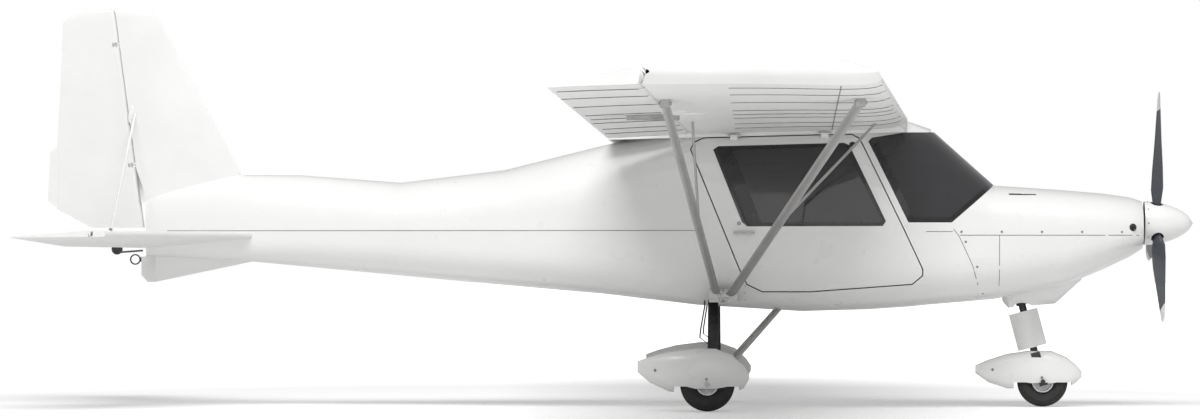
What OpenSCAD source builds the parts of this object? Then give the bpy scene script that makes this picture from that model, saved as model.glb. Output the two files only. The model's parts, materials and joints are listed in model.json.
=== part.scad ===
// High-wing two-seat microlight aircraft on a nosewheel gear.
// Millimetres. +X is forward, +Y is to port (left), +Z is up.
// The origin is on the ground, midway between nose and tail and midway between the wing tips.

/* [Wing] */
// Distance from one wing tip to the other
wing_span = 9450; // [8000:10:11000]
// Chord of the wing where it meets the cabin
root_chord = 1583; // [1300:5:1800]
// Chord of the wing at its tip
tip_chord = 1500; // [1200:5:1600]
// Trailing edge of the wing root, ahead of the origin
root_trailing_x = -25; // [-60:1:20]
// How far aft of the root the tip's trailing edge lies
tip_trail_back = 135; // [0:5:250]
// Height of the wing root's trailing edge
root_trailing_z = 1432; // [1400:1:1500]
// Rise of the wing towards its tip, degrees
dihedral = 1.95; // [0:0.05:4]
// Nose-up setting of the wing root, degrees
root_incidence = 3.5; // [1:0.1:4]
// Nose-up setting of the wing tip, degrees
tip_incidence = 1.5; // [0:0.1:3]
// Thickness of the root section over its chord
root_thick = 0.105; // [0.09:0.005:0.14]
// Thickness of the tip section over its chord
tip_thick = 0.09; // [0.07:0.005:0.12]
// Chord of the flap behind its hinge line
flap_chord = 412; // [300:1:450]
// Chord of the aileron's outer end behind its hinge line
aileron_chord = 396; // [300:1:450]
// Where the flap ends and the aileron begins, out from the centre line
split_y = 2400; // [1800:10:3000]
// Space between a control surface's round nose and the hollow it turns in
hinge_gap = 10; // [6:1:16]

/* [Fuselage] */
// Height of the roof rail above the doors, level with the wing's trailing edge
rail_rear_z = 1426; // [1400:1:1426]
// Slope of the roof rail and of the door heads, degrees
rail_slope = 1.4; // [0:0.1:2]
// Height of the seam between the upper and lower shells
waterline_z = 945; // [920:1:970]
// Thickness of the cabin wall and of the doors
cabin_wall = 30; // [20:1:40]
// Thickness of the tail cone and the cowling
tail_wall = 12; // [6:1:20]
// Thickness of the windows and the windscreen
glass_t = 6; // [4:0.5:10]
// Gap all round a door
door_gap = 6; // [5:0.5:10]

/* [Struts] */
// Where the main struts meet the wing, out from the centre line
strut_top_y = 3550; // [2800:10:3800]
// Width of the front strut along the airflow
front_strut_w = 56; // [40:1:70]
// Width of the rear strut along the airflow
rear_strut_w = 44; // [30:1:60]
// Radius of the short jury struts
jury_r = 7; // [5:0.5:10]

/* [Tail] */
// Half the span of the tailplane
tail_half_span = 1250; // [1000:10:1500]
// Height of the top of the fin
fin_top_z = 2150; // [1900:10:2300]
// Radius of the tail tie-down eye's hole
eye_r = 22; // [12:1:30]
// Width of the tie-down eye's ring, measured along its hole
eye_w = 10; // [6:1:16]

/* [Undercarriage] */
// Radius of a main tyre
main_tyre_r = 142; // [120:1:165]
// Radius of the nose tyre
nose_tyre_r = 135; // [120:1:150]
// Width of the tyres
tyre_w = 96; // [80:1:104]
// Distance between the middles of the main wheels
track = 1760; // [1600:10:2000]
// Main axles ahead of the origin
main_axle_x = 505; // [450:5:560]
// Nose axle ahead of the origin
nose_axle_x = 2293; // [2270:1:2310]
// Rake of the nose leg, degrees
nose_rake = 14.8; // [12:0.1:17]
// Radius of the axles
axle_r = 12.5; // [10:0.5:16]
// Radius of the tow-bar pins at the nose axle's ends
tow_pin_r = 8; // [6:0.5:10]
// Length of each tow-bar pin
tow_pin_l = 14; // [10:1:20]

/* [Propeller] */
// Radius swept by the blades
prop_r = 725; // [600:5:760]
// Height of the propeller's axis
prop_z = 985; // [960:1:1000]
// Turn of the first blade from straight up, degrees
prop_turn = 15.3; // [0:0.1:60]
// Radius of the spinner's base
spinner_r = 117; // [100:1:125]
// Radius of the propeller shaft
shaft_r = 20; // [15:0.5:25]

/* [Hidden] */
$fn = 48;

white = [0.93, 0.93, 0.92];
grey = [0.6, 0.61, 0.62];
dark = [0.12, 0.12, 0.13];
glass_colour = [0.15, 0.17, 0.18, 0.5];

LEFT = 1;
RIGHT = -1;
run_clear = 0.05;      // radial clearance of a shaft that turns in its hole
ring_n = 36;           // points round a fuselage section
foil_n = 12;           // points along each side of an aerofoil
arc_n = 10;            // steps round a control surface's nose
seat_gap = 0.3;        // clearance between a piece and what carries it
seam_gap = 0.02;       // clearance along a seam between two mouldings

// ---------- plain shapes ----------

function mix(a, b, t) = a * (1 - t) + b * t;

// Skin over a row of rings that have the same number of points
module skin(rings) {
    n = len(rings[0]);
    m = len(rings);
    sides = [for (j = [0:m - 2]) for (i = [0:n - 1]) let (k = (i + 1) % n)
        for (f = [[j * n + i, (j + 1) * n + i, (j + 1) * n + k], [j * n + i, (j + 1) * n + k, j * n + k]]) f];
    first = [[for (i = [0:n - 1]) i]];
    last = [[for (i = [n - 1:-1:0]) (m - 1) * n + i]];
    polyhedron(points = [for (r = rings) for (p = r) p], faces = concat(sides, first, last));
}

// Children built for the left side, mirrored for the right
module on_side(side) {
    mirror([0, side < 0 ? 1 : 0, 0]) children();
}

// Stand a shape that runs up +Z from p to q, with its local Y across the run
module along(p, q) {
    d = q - p;
    translate(p) rotate([0, acos(d[2] / norm(d)), atan2(d[1], d[0])]) children();
}

module rod(p, q, r) {
    along(p, q) cylinder(h = norm(q - p), r = r);
}

// Lens-shaped section, thin across and long along its local Y
module lens(chord, thick) {
    r = (chord * chord / 4 + thick * thick / 4) / thick;
    intersection() {
        translate([r - thick / 2, 0]) circle(r = r, $fn = 96);
        translate([thick / 2 - r, 0]) circle(r = r, $fn = 96);
    }
}

module strut(p, q, chord, thick) {
    along(p, q) linear_extrude(norm(q - p)) lens(chord, thick);
}

// A side outline, in X and Z, given thickness from y0 to y1
module side_plate(points, y0, y1) {
    translate([0, y1, 0]) rotate([90, 0, 0]) linear_extrude(y1 - y0) polygon(points);
}

// ---------- fuselage form ----------

// Columns: x, half width, bottom z, top z, squareness below, squareness above, wall
X = 0; HALF = 1; BOTTOM = 2; TOP = 3; SQ_LOW = 4; SQ_HIGH = 5; WALL = 6;
stations = [
    [-2540,  46,  808, 1156, 2.3, 2.2, tail_wall],
    [-2050, 112,  787, 1246, 2.4, 2.0, tail_wall],
    [-1700, 172,  754, 1244, 2.6, 2.0, tail_wall],
    [-1160, 270,  704, 1204, 3.0, 2.1, tail_wall],
    [ -600, 390,  652, 1272, 3.4, 2.4, tail_wall],
    [  -60, 492,  605, 1406, 4.0, 3.2, tail_wall],
    [  450, 575,  546, 1522, 5.0, 4.4, cabin_wall],
    [ 1000, 600,  513, 1578, 5.0, 3.6, cabin_wall],
    [ 1350, 585,  522, 1562, 4.6, 3.6, cabin_wall],
    [ 1560, 558,  536, 1536, 4.2, 3.4, cabin_wall],
    [ 1690, 530,  548, 1492, 4.0, 3.2, cabin_wall],
    [ 1860, 492,  562, 1340, 3.8, 3.0, cabin_wall],
    [ 2030, 455,  577, 1188, 3.6, 2.8, tail_wall],
    [ 2400, 392,  646, 1163, 3.0, 2.6, tail_wall],
    [ 2620, 340,  740, 1144, 2.8, 2.4, tail_wall],
    [ 2760, 286,  806, 1124, 2.6, 2.2, tail_wall],
    [ 2822, 225,  845, 1104, 2.4, 2.2, tail_wall],
];

function below(x, i = 0) = i >= len(stations) - 2 || stations[i + 1][X] >= x ? i : below(x, i + 1);
function station(x) = let (i = below(x), a = stations[i], b = stations[i + 1])
    mix(a, b, (x - a[X]) / (b[X] - a[X]));

// Ring of a section, drawn in by the given inset
function section_ring(s, inset) = [for (i = [0:ring_n - 1]) let (
    a = 360 * i / ring_n, c = cos(a), v = sin(a),
    e = 2 / (v < 0 ? s[SQ_LOW] : s[SQ_HIGH]),
    rise = v < 0 ? waterline_z - s[BOTTOM] - inset : s[TOP] - inset - waterline_z)
    [s[X], sign(c) * (s[HALF] - inset) * pow(abs(c), e), waterline_z + sign(v) * rise * pow(abs(v), e)]];

// Half width of the outside at a place on the side
function side_y(x, z) = let (s = station(x), up = z > waterline_z,
    u = up ? (z - waterline_z) / (s[TOP] - waterline_z) : (waterline_z - z) / (waterline_z - s[BOTTOM]),
    n = up ? s[SQ_HIGH] : s[SQ_LOW])
    s[HALF] * pow(1 - pow(min(u, 0.999), n), 1 / n);

function between(x0, x1) = concat([station(x0)], [for (s = stations) if (s[X] > x0 && s[X] < x1) s], [station(x1)]);

module body_solid(x0, x1) {
    skin([for (s = between(x0, x1)) section_ring(s, 0)]);
}

module body_inside(x0, x1, extra = 0) {
    skin([for (s = between(x0, x1)) section_ring(s, s[WALL] + extra)]);
}

module body_shell(x0, x1, cap0 = false, cap1 = false) {
    difference() {
        body_solid(x0, x1);
        body_inside(cap0 ? x0 + tail_wall : x0 , cap1 ? x1 - tail_wall : x1);
    }
}

// Parts of the outer skin only, as thick as the glass
module body_glass(x0, x1) {
    difference() {
        body_solid(x0, x1);
        skin([for (s = between(x0, x1)) section_ring(s, glass_t)]);
    }
}

// ---------- wing form ----------

wing_root_y = 500;
half_span = wing_span / 2;
tip_y = half_span - 25;        // where the flat skin ends and the tip cap begins
rise = tan(dihedral);
camber_m = 0.038;
camber_p = 0.4;
edge_t = 2;                    // half thickness of a trailing edge
cap_y = 25;

function camber(x) = x < camber_p ? camber_m / pow(camber_p, 2) * (2 * camber_p * x - x * x)
    : camber_m / pow(1 - camber_p, 2) * (1 - 2 * camber_p + 2 * camber_p * x - x * x);
function half_thick(x, t) = 5 * t * (0.2969 * sqrt(x) - 0.126 * x - 0.3516 * x * x
    + 0.2843 * pow(x, 3) - 0.1036 * pow(x, 4));

// Columns of a wing end: y, trailing x, trailing z, chord, thickness, chord of the hinged part, setting
W_Y = 0; W_X = 1; W_Z = 2; W_C = 3; W_T = 4; W_H = 5; W_SET = 6;
wing_ends = [
    [wing_root_y, root_trailing_x, root_trailing_z, root_chord, root_thick, flap_chord,
        tan(root_incidence)],
    [tip_y, root_trailing_x - tip_trail_back, root_trailing_z + (tip_y - wing_root_y) * rise,
        tip_chord, tip_thick, aileron_chord, tan(tip_incidence)]];

function foil_point(w, x, side) = [
    w[W_X] + (1 - x) * w[W_C], w[W_Y],
    w[W_Z] + w[W_C] * (camber(x) + (1 - x) * w[W_SET])
        + side * (w[W_C] * half_thick(x, w[W_T]) + edge_t * x)];
function hinge_x(w) = 1 - w[W_H] / w[W_C];
function hinge_point(w) = (foil_point(w, hinge_x(w), 1) + foil_point(w, hinge_x(w), -1)) / 2;
function hinge_r(w) = (foil_point(w, hinge_x(w), 1)[2] - foil_point(w, hinge_x(w), -1)[2]) / 2;
function lip_x(w) = let (r = hinge_r(w)) hinge_x(w) - sqrt(2 * r * hinge_gap + hinge_gap * hinge_gap) / w[W_C];
function arc_point(c, r, a) = c + r * [cos(a), 0, sin(a)];

// Bunches points near a leading edge
function spread(i, n) = pow(i / n, 2);

function main_ring(w) = let (c = hinge_point(w), r = hinge_r(w) + hinge_gap, l = lip_x(w),
    low = foil_point(w, l, -1), high = foil_point(w, l, 1),
    a0 = atan2(low[2] - c[2], low[0] - c[0]), a1 = atan2(high[2] - c[2], high[0] - c[0])) concat(
    [for (i = [foil_n:-1:1]) foil_point(w, l * spread(i, foil_n), 1)],
    [for (i = [0:foil_n]) foil_point(w, l * spread(i, foil_n), -1)],
    [for (i = [1:arc_n - 1]) arc_point(c, r, mix(a0, a1, i / arc_n))]);

function flap_ring(w) = let (c = hinge_point(w), r = hinge_r(w), h = hinge_x(w)) concat(
    [for (i = [0:4]) foil_point(w, mix(h, 1, i / 4), -1)],
    [for (i = [4:-1:0]) foil_point(w, mix(h, 1, i / 4), 1)],
    [for (i = [1:arc_n - 1]) arc_point(c, r, 90 - 180 * i / arc_n)]);

// Flat-bottomed fill for the cabin roof, level with the wing's upper skin
function ring_at(rings, y) = mix(rings[0], rings[1], (y - wing_root_y) / (tip_y - wing_root_y));
// The tip cap draws the section in towards its middle
function cap_ring(ring, k) = let (m = [for (j = [0:2]) (min([for (p = ring) p[j]]) + max([for (p = ring) p[j]])) / 2])
    [for (p = ring) [m[0] + (p[0] - m[0]) * (1 - k * 0.03), p[1] + k * cap_y, m[2] + (p[2] - m[2]) * (1 - k * 0.7)]];

main_rings = [for (w = wing_ends) main_ring(w)];
flap_rings = [for (w = wing_ends) flap_ring(w)];

function lower_z(x, y) = let (t = (y - wing_root_y) / (tip_y - wing_root_y), w = mix(wing_ends[0], wing_ends[1], t))
    foil_point(w, 1 - (x - w[W_X]) / w[W_C], -1)[2];
// Height of the rail on which the roof and the wings sit
function rail_z(x) = rail_rear_z + (x - root_trailing_x) * tan(rail_slope);

// ---------- doors ----------

door_hinge_y = 534;
door_hinge_rise = 3;           // hinge pin above the rail, under the wing
door_hinges_x = [640, 1120];
hinge_barrel = 40;
hinge_pin_r = 3;
hinge_barrel_r = 6.5;
door_from = 380;               // length of fuselage form that the doors are cut from
door_to = 1680;
door_outline = [[480, rail_z(480) - door_gap], [1262, rail_z(1262) - door_gap], [1302, 1430],
    [1536, 947], [1634, 739], [1634, 708], [1581, 663], [1042, 624], [791, 624], [712, 662],
    [673, 741], [415, 1373], [430, 1408]];
window_outline = [[531, 1372], [557, 1390], [1222, 1408], [1250, 1396], [1442, 994], [1426, 968],
    [710, 966], [683, 989]];
pane_gap = 0.5;

module door_region(grow = 0) {
    translate([0, 800, 0]) rotate([90, 0, 0]) linear_extrude(600) offset(delta = grow) polygon(door_outline);
}

module window_region(grow = 0) {
    translate([0, 800, 0]) rotate([90, 0, 0]) linear_extrude(600) offset(delta = grow) polygon(window_outline);
}

module door_openings() {
    head = [door_outline[0], door_outline[1]];
    for (side = [LEFT, RIGHT]) on_side(side) {
        door_region(door_gap);
        side_plate(concat(head, [head[1] + [0, 40], head[0] + [0, 40]]), 200, 800);
    }
}

module door(side) {
    color(white) on_side(side) union() {
        difference() {
            intersection() {
                body_shell(door_from, door_to);
                door_region();
            }
            window_region();
        }
        for (x = door_hinges_x) difference() {
            union() {
                hinge_line(x - hinge_barrel / 2, hinge_barrel, hinge_barrel_r);
                translate([x - hinge_barrel / 2, 500, rail_z(x) + door_hinge_rise - 24])
                    cube([hinge_barrel, door_hinge_y - 500, 20]);
            }
            hinge_line(x - hinge_barrel, 2 * hinge_barrel, hinge_pin_r + run_clear);
        }
    }
}

// Round bar on the door's hinge axis
module hinge_line(x, length, r) {
    translate([x, door_hinge_y, rail_z(x) + door_hinge_rise]) rotate([0, 90 - rail_slope, 0])
        cylinder(h = length, r = r);
}

module door_window(side) {
    color(glass_colour) on_side(side) intersection() {
        body_glass(480, 1500);
        window_region(-pane_gap);
    }
}

module door_handle(side) {
    x0 = 640; length = 110; z0 = 925; height = 14; stand = 22;
    y = side_y(x0 + length, z0);
    color(grey) on_side(side) difference() {
        union() {
            translate([x0, y + stand - 8, z0]) cube([length, 8, height]);
            for (x = [x0 + 4, x0 + length - 14]) translate([x, y - 12, z0 + 2])
                cube([10, stand + 8, height - 4]);
        }
        body_solid(door_from, door_to);
    }
}

// ---------- fuselage pieces ----------

fus_seam_x = 700;      // seam in the belly behind the doors' rear edges
cowl_seam = [[1800, 953], [1829, 916], [1901, 762], [1932, 656], [1945, 400]];
cowl_split_z = 920;    // between the upper and lower cowl
cowl_split = [mix(cowl_seam[0][0], cowl_seam[1][0],
    (cowl_seam[0][1] - cowl_split_z) / (cowl_seam[0][1] - cowl_seam[1][1])), cowl_split_z];
screen_base = [[1791, 987], [2004, 1170]];
cowl_top_seam = [[1800, 953], [2046, 1200]];

module rear_fuselage_lower() {
    color(white) difference() {
        intersection() {
            body_shell(-2540, fus_seam_x, cap0 = true);
            translate([-3000, -700, 0]) cube([4000, 1400, waterline_z]);
        }
        door_openings();
    }
}

module rear_fuselage_upper() {
    color(white) difference() {
        intersection() {
            body_shell(-2540, fus_seam_x, cap0 = true);
            side_plate([[-3000, waterline_z], [fus_seam_x, waterline_z], [fus_seam_x, rail_z(fus_seam_x)],
                [-60, rail_z(-60)], [-60, 1600], [-3000, 1600]], -700, 700);
        }
        door_openings();
    }
}

module cabin_shell() {
    color(white) difference() {
        intersection() {
            body_shell(fus_seam_x, 2060);
            side_plate([[fus_seam_x, 300], [cowl_seam[4][0], 300], cowl_seam[3], cowl_seam[2], cowl_seam[1],
                cowl_seam[0], cowl_top_seam[1], [2060, 1300], [1700, rail_z(1700)],
                [fus_seam_x, rail_z(fus_seam_x)]], -700, 700);
        }
        door_openings();
        screen_region(0);
    }
}

// Side outline of the windscreen's opening
module screen_region(grow) {
    translate([0, 800, 0]) rotate([90, 0, 0]) linear_extrude(1600) offset(delta = grow)
        polygon([[1350, 1416], [1370, 1436], [1544, rail_z(1544)], [1700, rail_z(1700) + 30],
            [2060, 1500], [2060, 1226], screen_base[1], screen_base[0], [1561, 987]]);
}

module windscreen() {
    color(glass_colour) intersection() {
        body_glass(1300, 2060);
        screen_region(-pane_gap);
        side_plate([[1300, 900], [2100, 900], [2100, 1300], [1900, 1500], [roof_front, rail_z(roof_front)],
            [1300, rail_z(1300)]], -700, 700);
    }
}

roof_front = 1690;
function roof_z(x) = rail_z(x) + seam_gap;

// The roof fills the space between the wing roots and runs down to the windscreen
module cabin_roof() {
    w = wing_ends[0];
    top = [for (i = [0:2 * foil_n]) let (p = foil_point(w, spread(i, 2 * foil_n), 1)) [p[0], p[2]]];
    nose = foil_point(w, 0, 1);
    color(white) union() {
        side_plate(concat(top, [[w[W_X], roof_z(w[W_X])], [nose[0] - 8, roof_z(nose[0])]]),
            -wing_root_y, wing_root_y);
        intersection() {
            body_solid(1340, 1700);
            side_plate([[1340, roof_z(1340)], [roof_front, roof_z(roof_front)], [roof_front, 1700], [1340, 1700]],
                -560, 560);
        }
        for (side = [LEFT, RIGHT]) on_side(side) for (x = door_hinges_x) {
            hinge_line(x - hinge_barrel / 2 - 14, hinge_barrel + 28, hinge_pin_r);
            for (at = [x - hinge_barrel / 2 - 14, x + hinge_barrel / 2 + 4])
                translate([at, wing_root_y - 10, rail_z(x) + door_hinge_rise - 4])
                    cube([10, door_hinge_y + 5 - wing_root_y + 10, 8]);
        }
    }
}

firewall_x0 = 1925;
firewall_x1 = 1940;
module firewall() {
    color(grey) intersection() {
        body_inside(1800, 2030, seat_gap);
        translate([firewall_x0, -700, 500]) cube([firewall_x1 - firewall_x0, 1400, 620]);
    }
}

module upper_cowl() {
    color(white) difference() {
        intersection() {
            body_shell(1790, 2822, cap1 = true);
            side_plate([cowl_split, [2900, cowl_split_z], [2900, 1300], [2046, 1300], cowl_top_seam[1],
                cowl_top_seam[0]], -700, 700);
        }
        shaft_hole();
        for (side = [LEFT, RIGHT]) on_side(side) cooling_inlet();
    }
}

module lower_cowl() {
    color(white) difference() {
        intersection() {
            body_shell(1790, 2822, cap1 = true);
            side_plate([cowl_split, cowl_seam[1], cowl_seam[2], cowl_seam[3], cowl_seam[4], [2900, 400],
                [2900, cowl_split_z]], -700, 700);
        }
        shaft_hole();
        leg_hole();
    }
}

module shaft_hole() {
    translate([2700, 0, prop_z]) rotate([0, 90, 0]) cylinder(h = 200, r = 78);
}

// A round intake beside the spinner
module cooling_inlet() {
    translate([2700, 152, 1002]) rotate([0, 90, 0]) cylinder(h = 200, r = 34);
}

// Way for the nose leg through the belly
module leg_hole() {
    in_leg_frame() translate([0, 0, 380]) cylinder(h = 130, r = 62);
}

module chin_fairing() {
    color(white) difference() {
        intersection() {
            skin([for (s = [[2080, 62, 640], [2110, 84, 700], [2200, 96, 700], [2360, 88, 700], [2500, 60, 760]])
                [for (p = [[-1, 0], [-1, 0.45], [-0.82, 0.8], [-0.4, 1], [0.4, 1], [0.82, 0.8], [1, 0.45], [1, 0]])
                    [s[0], p[0] * s[1], mix(s[2], chin_z(s[0]), p[1])]]]);
            translate([1900, -300, 0]) cube([900, 600, 900]);
        }
        body_solid(1900, 2700);
        leg_hole();
    }
}

function chin_z(x) = lookup(x, [[2080, 566], [2110, 531], [2366, 554], [2500, 680]]);

engine_size = [440, 460, 250];
engine_x = 2210;
gearbox_r = 62;

module engine_block() {
    color(dark) union() {
        translate([engine_x, -engine_size[1] / 2, 830]) cube(engine_size);
        translate([engine_x + engine_size[0], 0, prop_z]) rotate([0, 90, 0])
            cylinder(h = 2828 - engine_x - engine_size[0], r = gearbox_r);
        translate([2700, 0, prop_z]) rotate([0, 90, 0]) cylinder(h = 180, r = shaft_r);
        intersection() {
            for (side = [LEFT, RIGHT]) on_side(side) rod([engine_x + 10, 170, 880], [firewall_x1 - 20, 250, 780], 14);
            translate([firewall_x1 + seat_gap, -500, 500]) cube([engine_x - firewall_x1, 1000, 600]);
        }
    }
}

module instrument_panel() {
    color(dark) intersection() {
        union() {
            translate([1650, -600, 930]) cube([26, 1200, 260]);
            side_plate([[1620, 1186], [1900, 1150], [1900, 1166], [1620, 1204]], -600, 600);
        }
        body_inside(1400, 2030, 0.3);
    }
}

seat_w = 440;
module seat(side) {
    color(dark) on_side(side) intersection() {
        side_plate([[560, 480], [1010, 480], [1040, 770], [1000, 800], [690, 760], [500, 1270], [440, 1290],
            [410, 1260], [540, 780]], 35, 35 + seat_w);
        body_inside(380, 1300, seat_gap);
    }
}

module control_stick() {
    color(dark) intersection() {
        union() {
            rod([1122, 0, 550], [1190, 0, 880], 12);
            rod([1187, 0, 866], [1212, 0, 985], 19);
            translate([1060, -60, 500]) cube([120, 120, 75]);
        }
        body_inside(900, 1400, seat_gap);
    }
}

module rudder_pedals() {
    color(grey) intersection() {
        union() {
            translate([1712, -300, 640]) rotate([-90, 0, 0]) cylinder(h = 600, r = 11);
            for (y = [-280, -10, 260]) translate([1700, y, 540]) cube([24, 20, 100]);
            for (y = [-250, -110, 110, 250]) {
                rod([1712, y, 640], [1735, y, 710], 7);
                translate([1730, y - 45, 700]) cube([14, 90, 110]);
            }
        }
        body_inside(1600, 1850, seat_gap);
    }
}

// ---------- wings ----------

module wing_surface() {
    tip = main_rings[1];
    skin([main_rings[0], tip, cap_ring(tip, 0.5), cap_ring(tip, 1)]);
}

module wing(side) {
    color(white) on_side(side) union() {
        wing_surface();
        for (y = concat(flap_lugs_y, aileron_lugs_y)) at_wing_hinge(y) lug();
    }
}

split_gap = 32;
flap_inner_y = wing_root_y + 60;
flap_lugs_y = [flap_inner_y + 140, split_y - 200];
aileron_lugs_y = [split_y + 200, tip_y - 200];
module wing_flap(side) {
    color(white) on_side(side) difference() {
        skin([ring_at(flap_rings, flap_inner_y), ring_at(flap_rings, split_y - split_gap / 2)]);
        for (y = flap_lugs_y) at_wing_hinge(y) lug_slot();
    }
}

module aileron(side) {
    color(white) on_side(side) difference() {
        skin([ring_at(flap_rings, split_y + split_gap / 2), ring_at(flap_rings, tip_y)]);
        for (y = aileron_lugs_y) at_wing_hinge(y) lug_slot();
    }
}

// ---------- hinge lugs of the control surfaces ----------

lug_t = 10;
lug_r = 12;
lug_side = 6;                  // clearance beside a lug in its slot
lug_reach = 66;                // from the hinge line into the fixed surface
lug_pin_r = 4;
lug_pin_l = 46;

// Both stand with local Z along the hinge line and local -Y forward
module lug() {
    translate([0, 0, -lug_t / 2]) cylinder(h = lug_t, r = lug_r);
    translate([-lug_r, -lug_reach, -lug_t / 2]) cube([2 * lug_r, lug_reach, lug_t]);
    translate([0, 0, -lug_pin_l / 2]) cylinder(h = lug_pin_l, r = lug_pin_r);
}

module lug_slot() {
    depth = lug_r + 5;
    wide = lug_t + 2 * lug_side;
    translate([-60, -60, -wide / 2]) cube([120, 60 + depth, wide]);
    translate([0, 0, -lug_pin_l / 2 - 1]) cylinder(h = lug_pin_l + 2, r = lug_pin_r + run_clear);
}

module at_wing_hinge(y) {
    a = hinge_point(wing_ends[0]);
    b = hinge_point(wing_ends[1]);
    along(mix(a, b, (y - wing_root_y) / (tip_y - wing_root_y)), b) children();
}

module at_tail_hinge(y) {
    a = [tail_ends[0][1], tail_ends[0][0], tail_ends[0][2]];
    b = [tail_ends[1][1], tail_ends[1][0], tail_ends[1][2]];
    along(mix(a, b, (y - tail_root_y) / (tail_half_span - tail_root_y)), b) children();
}

module at_rudder_hinge(z) {
    along([rudder_hinge_x(z), 0, z], [hinge_high[0], 0, hinge_high[1]]) rotate([0, 0, -90]) children();
}

// ---------- struts ----------

front_strut_t = 26;
rear_strut_t = 22;
front_low = [622, 572, 602];
rear_low = [548, 572, 612];
front_high = [1262, strut_top_y, lower_z(1262, strut_top_y) - 18];
rear_high = [344, strut_top_y, lower_z(344, strut_top_y) - 18];
jury_front_t = 0.38;
jury_rear_t = 0.36;

module front_strut_bar() {
    strut(front_low, front_high, front_strut_w, front_strut_t);
}

module rear_strut_bar() {
    strut(rear_low, rear_high, rear_strut_w, rear_strut_t);
}

module wing_struts(side) {
    color(grey) on_side(side) {
        front_strut_bar();
        rear_strut_bar();
    }
}

module jury_struts() {
    front = mix(front_low, front_high, jury_front_t);
    rear = mix(rear_low, rear_high, jury_rear_t);
    color(grey) for (side = [LEFT, RIGHT]) on_side(side) {
        difference() {
            rod(front, [1388, 1080, lower_z(1388, 1080) + 12], jury_r);
            front_strut_bar();
            wing_surface();
        }
        difference() {
            rod(rear, [440, 1670, lower_z(440, 1670) + 12], jury_r);
            rear_strut_bar();
            wing_surface();
        }
    }
}

module wing_fittings() {
    color(grey) difference() {
        for (side = [LEFT, RIGHT]) on_side(side) difference() {
            translate([510, 480, 566]) cube([150, 120, 70]);
            front_strut_bar();
            rear_strut_bar();
        }
        body_solid(-60, fus_seam_x);
    }
    color(grey) for (side = [LEFT, RIGHT]) on_side(side) {
        for (top = [front_high, rear_high]) difference() {
            translate(top - [22, 30, 20]) cube([44, 60, 60]);
            wing_surface();
            front_strut_bar();
            rear_strut_bar();
        }
        difference() {
            translate([130, split_y - 7, lower_z(380, split_y) - 32]) cube([260, 14, 40]);
            wing_surface();
            side_plate([[100, 1700], [360, 1700], [360, lower_z(380, split_y) - 2], [100, lower_z(380, split_y) - 2]],
                split_y - 20, split_y + 20);
        }
    }
}

// ---------- fin and rudder ----------

rudder_r = 24;
tail_gap = 9;
fin_foot_z = 1100;
rudder_foot_z = 962;
hinge_low = [-2574, 962];
hinge_high = [-2733, 2146];
function rudder_hinge_x(z) = mix(hinge_low[0], hinge_high[0], (z - hinge_low[1]) / (hinge_high[1] - hinge_low[1]));

// Level section of the fin: hinge x, leading edge x, half thickness
function fin_ring(z, lead, half) = let (h = rudder_hinge_x(z), lip = h + sqrt(2 * half * tail_gap + tail_gap * tail_gap)) concat(
    [for (i = [0:8]) let (u = pow(i / 8, 2)) [mix(lead, lip, u), half * pow(min(1, 1.6 * u), 0.5), z]],
    [for (i = [1:5]) let (a = mix(acos((lip - h) / (half + tail_gap)), -acos((lip - h) / (half + tail_gap)), i / 6))
        [h + (half + tail_gap) * cos(a), (half + tail_gap) * sin(a), z]],
    [for (i = [8:-1:1]) let (u = pow(i / 8, 2)) [mix(lead, lip, u), -half * pow(min(1, 1.6 * u), 0.5), z]]);

rudder_lugs_z = [1300, 1950];
module fin_skin() {
    skin([fin_ring(fin_foot_z, -1930, rudder_r + 8), fin_ring(1273, -2033, rudder_r + 5), fin_ring(2095, -2478, rudder_r),
        fin_ring(2136, -2508, rudder_r * 0.8), fin_ring(fin_top_z, -2545, rudder_r * 0.4)]);
}

module fin() {
    color(white) union() {
        difference() {
            fin_skin();
            body_solid(-2540, -1500);
        }
        for (z = rudder_lugs_z) at_rudder_hinge(z) lug();
    }
}

function rudder_ring(z, trail, half) = let (h = rudder_hinge_x(z)) concat(
    [[trail, edge_t, z], [trail, -edge_t, z]],
    [for (i = [0:arc_n]) let (a = -90 + 180 * i / arc_n) [h + half * cos(a), half * sin(a), z]]);

module rudder() {
    color(white) difference() {
        skin([rudder_ring(930, -3026, rudder_r), rudder_ring(1420, -3024, rudder_r),
            rudder_ring(2069, -2993, rudder_r), rudder_ring(2124, -2945, rudder_r * 0.8),
            rudder_ring(2142, -2860, rudder_r * 0.45)]);
        // the foot rises towards the trailing edge, clear of the elevators
        side_plate([[-3200, 800], [-2400, 800], [-2400, rudder_foot_z], [-2836, rudder_foot_z], [-3026, 1062],
            [-3200, 1062]], -100, 100);
        trim_notch();
        for (z = rudder_lugs_z) at_rudder_hinge(z) lug_slot();
    }
}

tab_outline = [[-3018, 1400], [-3062, 1370], [-3077, 1106], [-3037, 1076], [-3018, 1076]];
module trim_notch() {
    side_plate([[-3100, 1400], [tab_outline[0][0] + seat_gap, 1400], [tab_outline[0][0] + seat_gap, 1076], [-3100, 1076]], -50, 50);
}

module rudder_trim_tab() {
    color(white) side_plate(tab_outline, -1.5, 1.5);
}

ventral_rear_x = -2567;
module ventral_fin() {
    color(white) difference() {
        side_plate([[ventral_rear_x, 900], [ventral_rear_x, 706], [-2532, 668], [-2494, 668], [-1951, 782],
            [-1951, 900]], -9, 9);
        body_solid(-2540, fus_seam_x);
        translate([-2600, -50, 806]) cube([60 + seat_gap, 100, 200]);
    }
}

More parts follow.
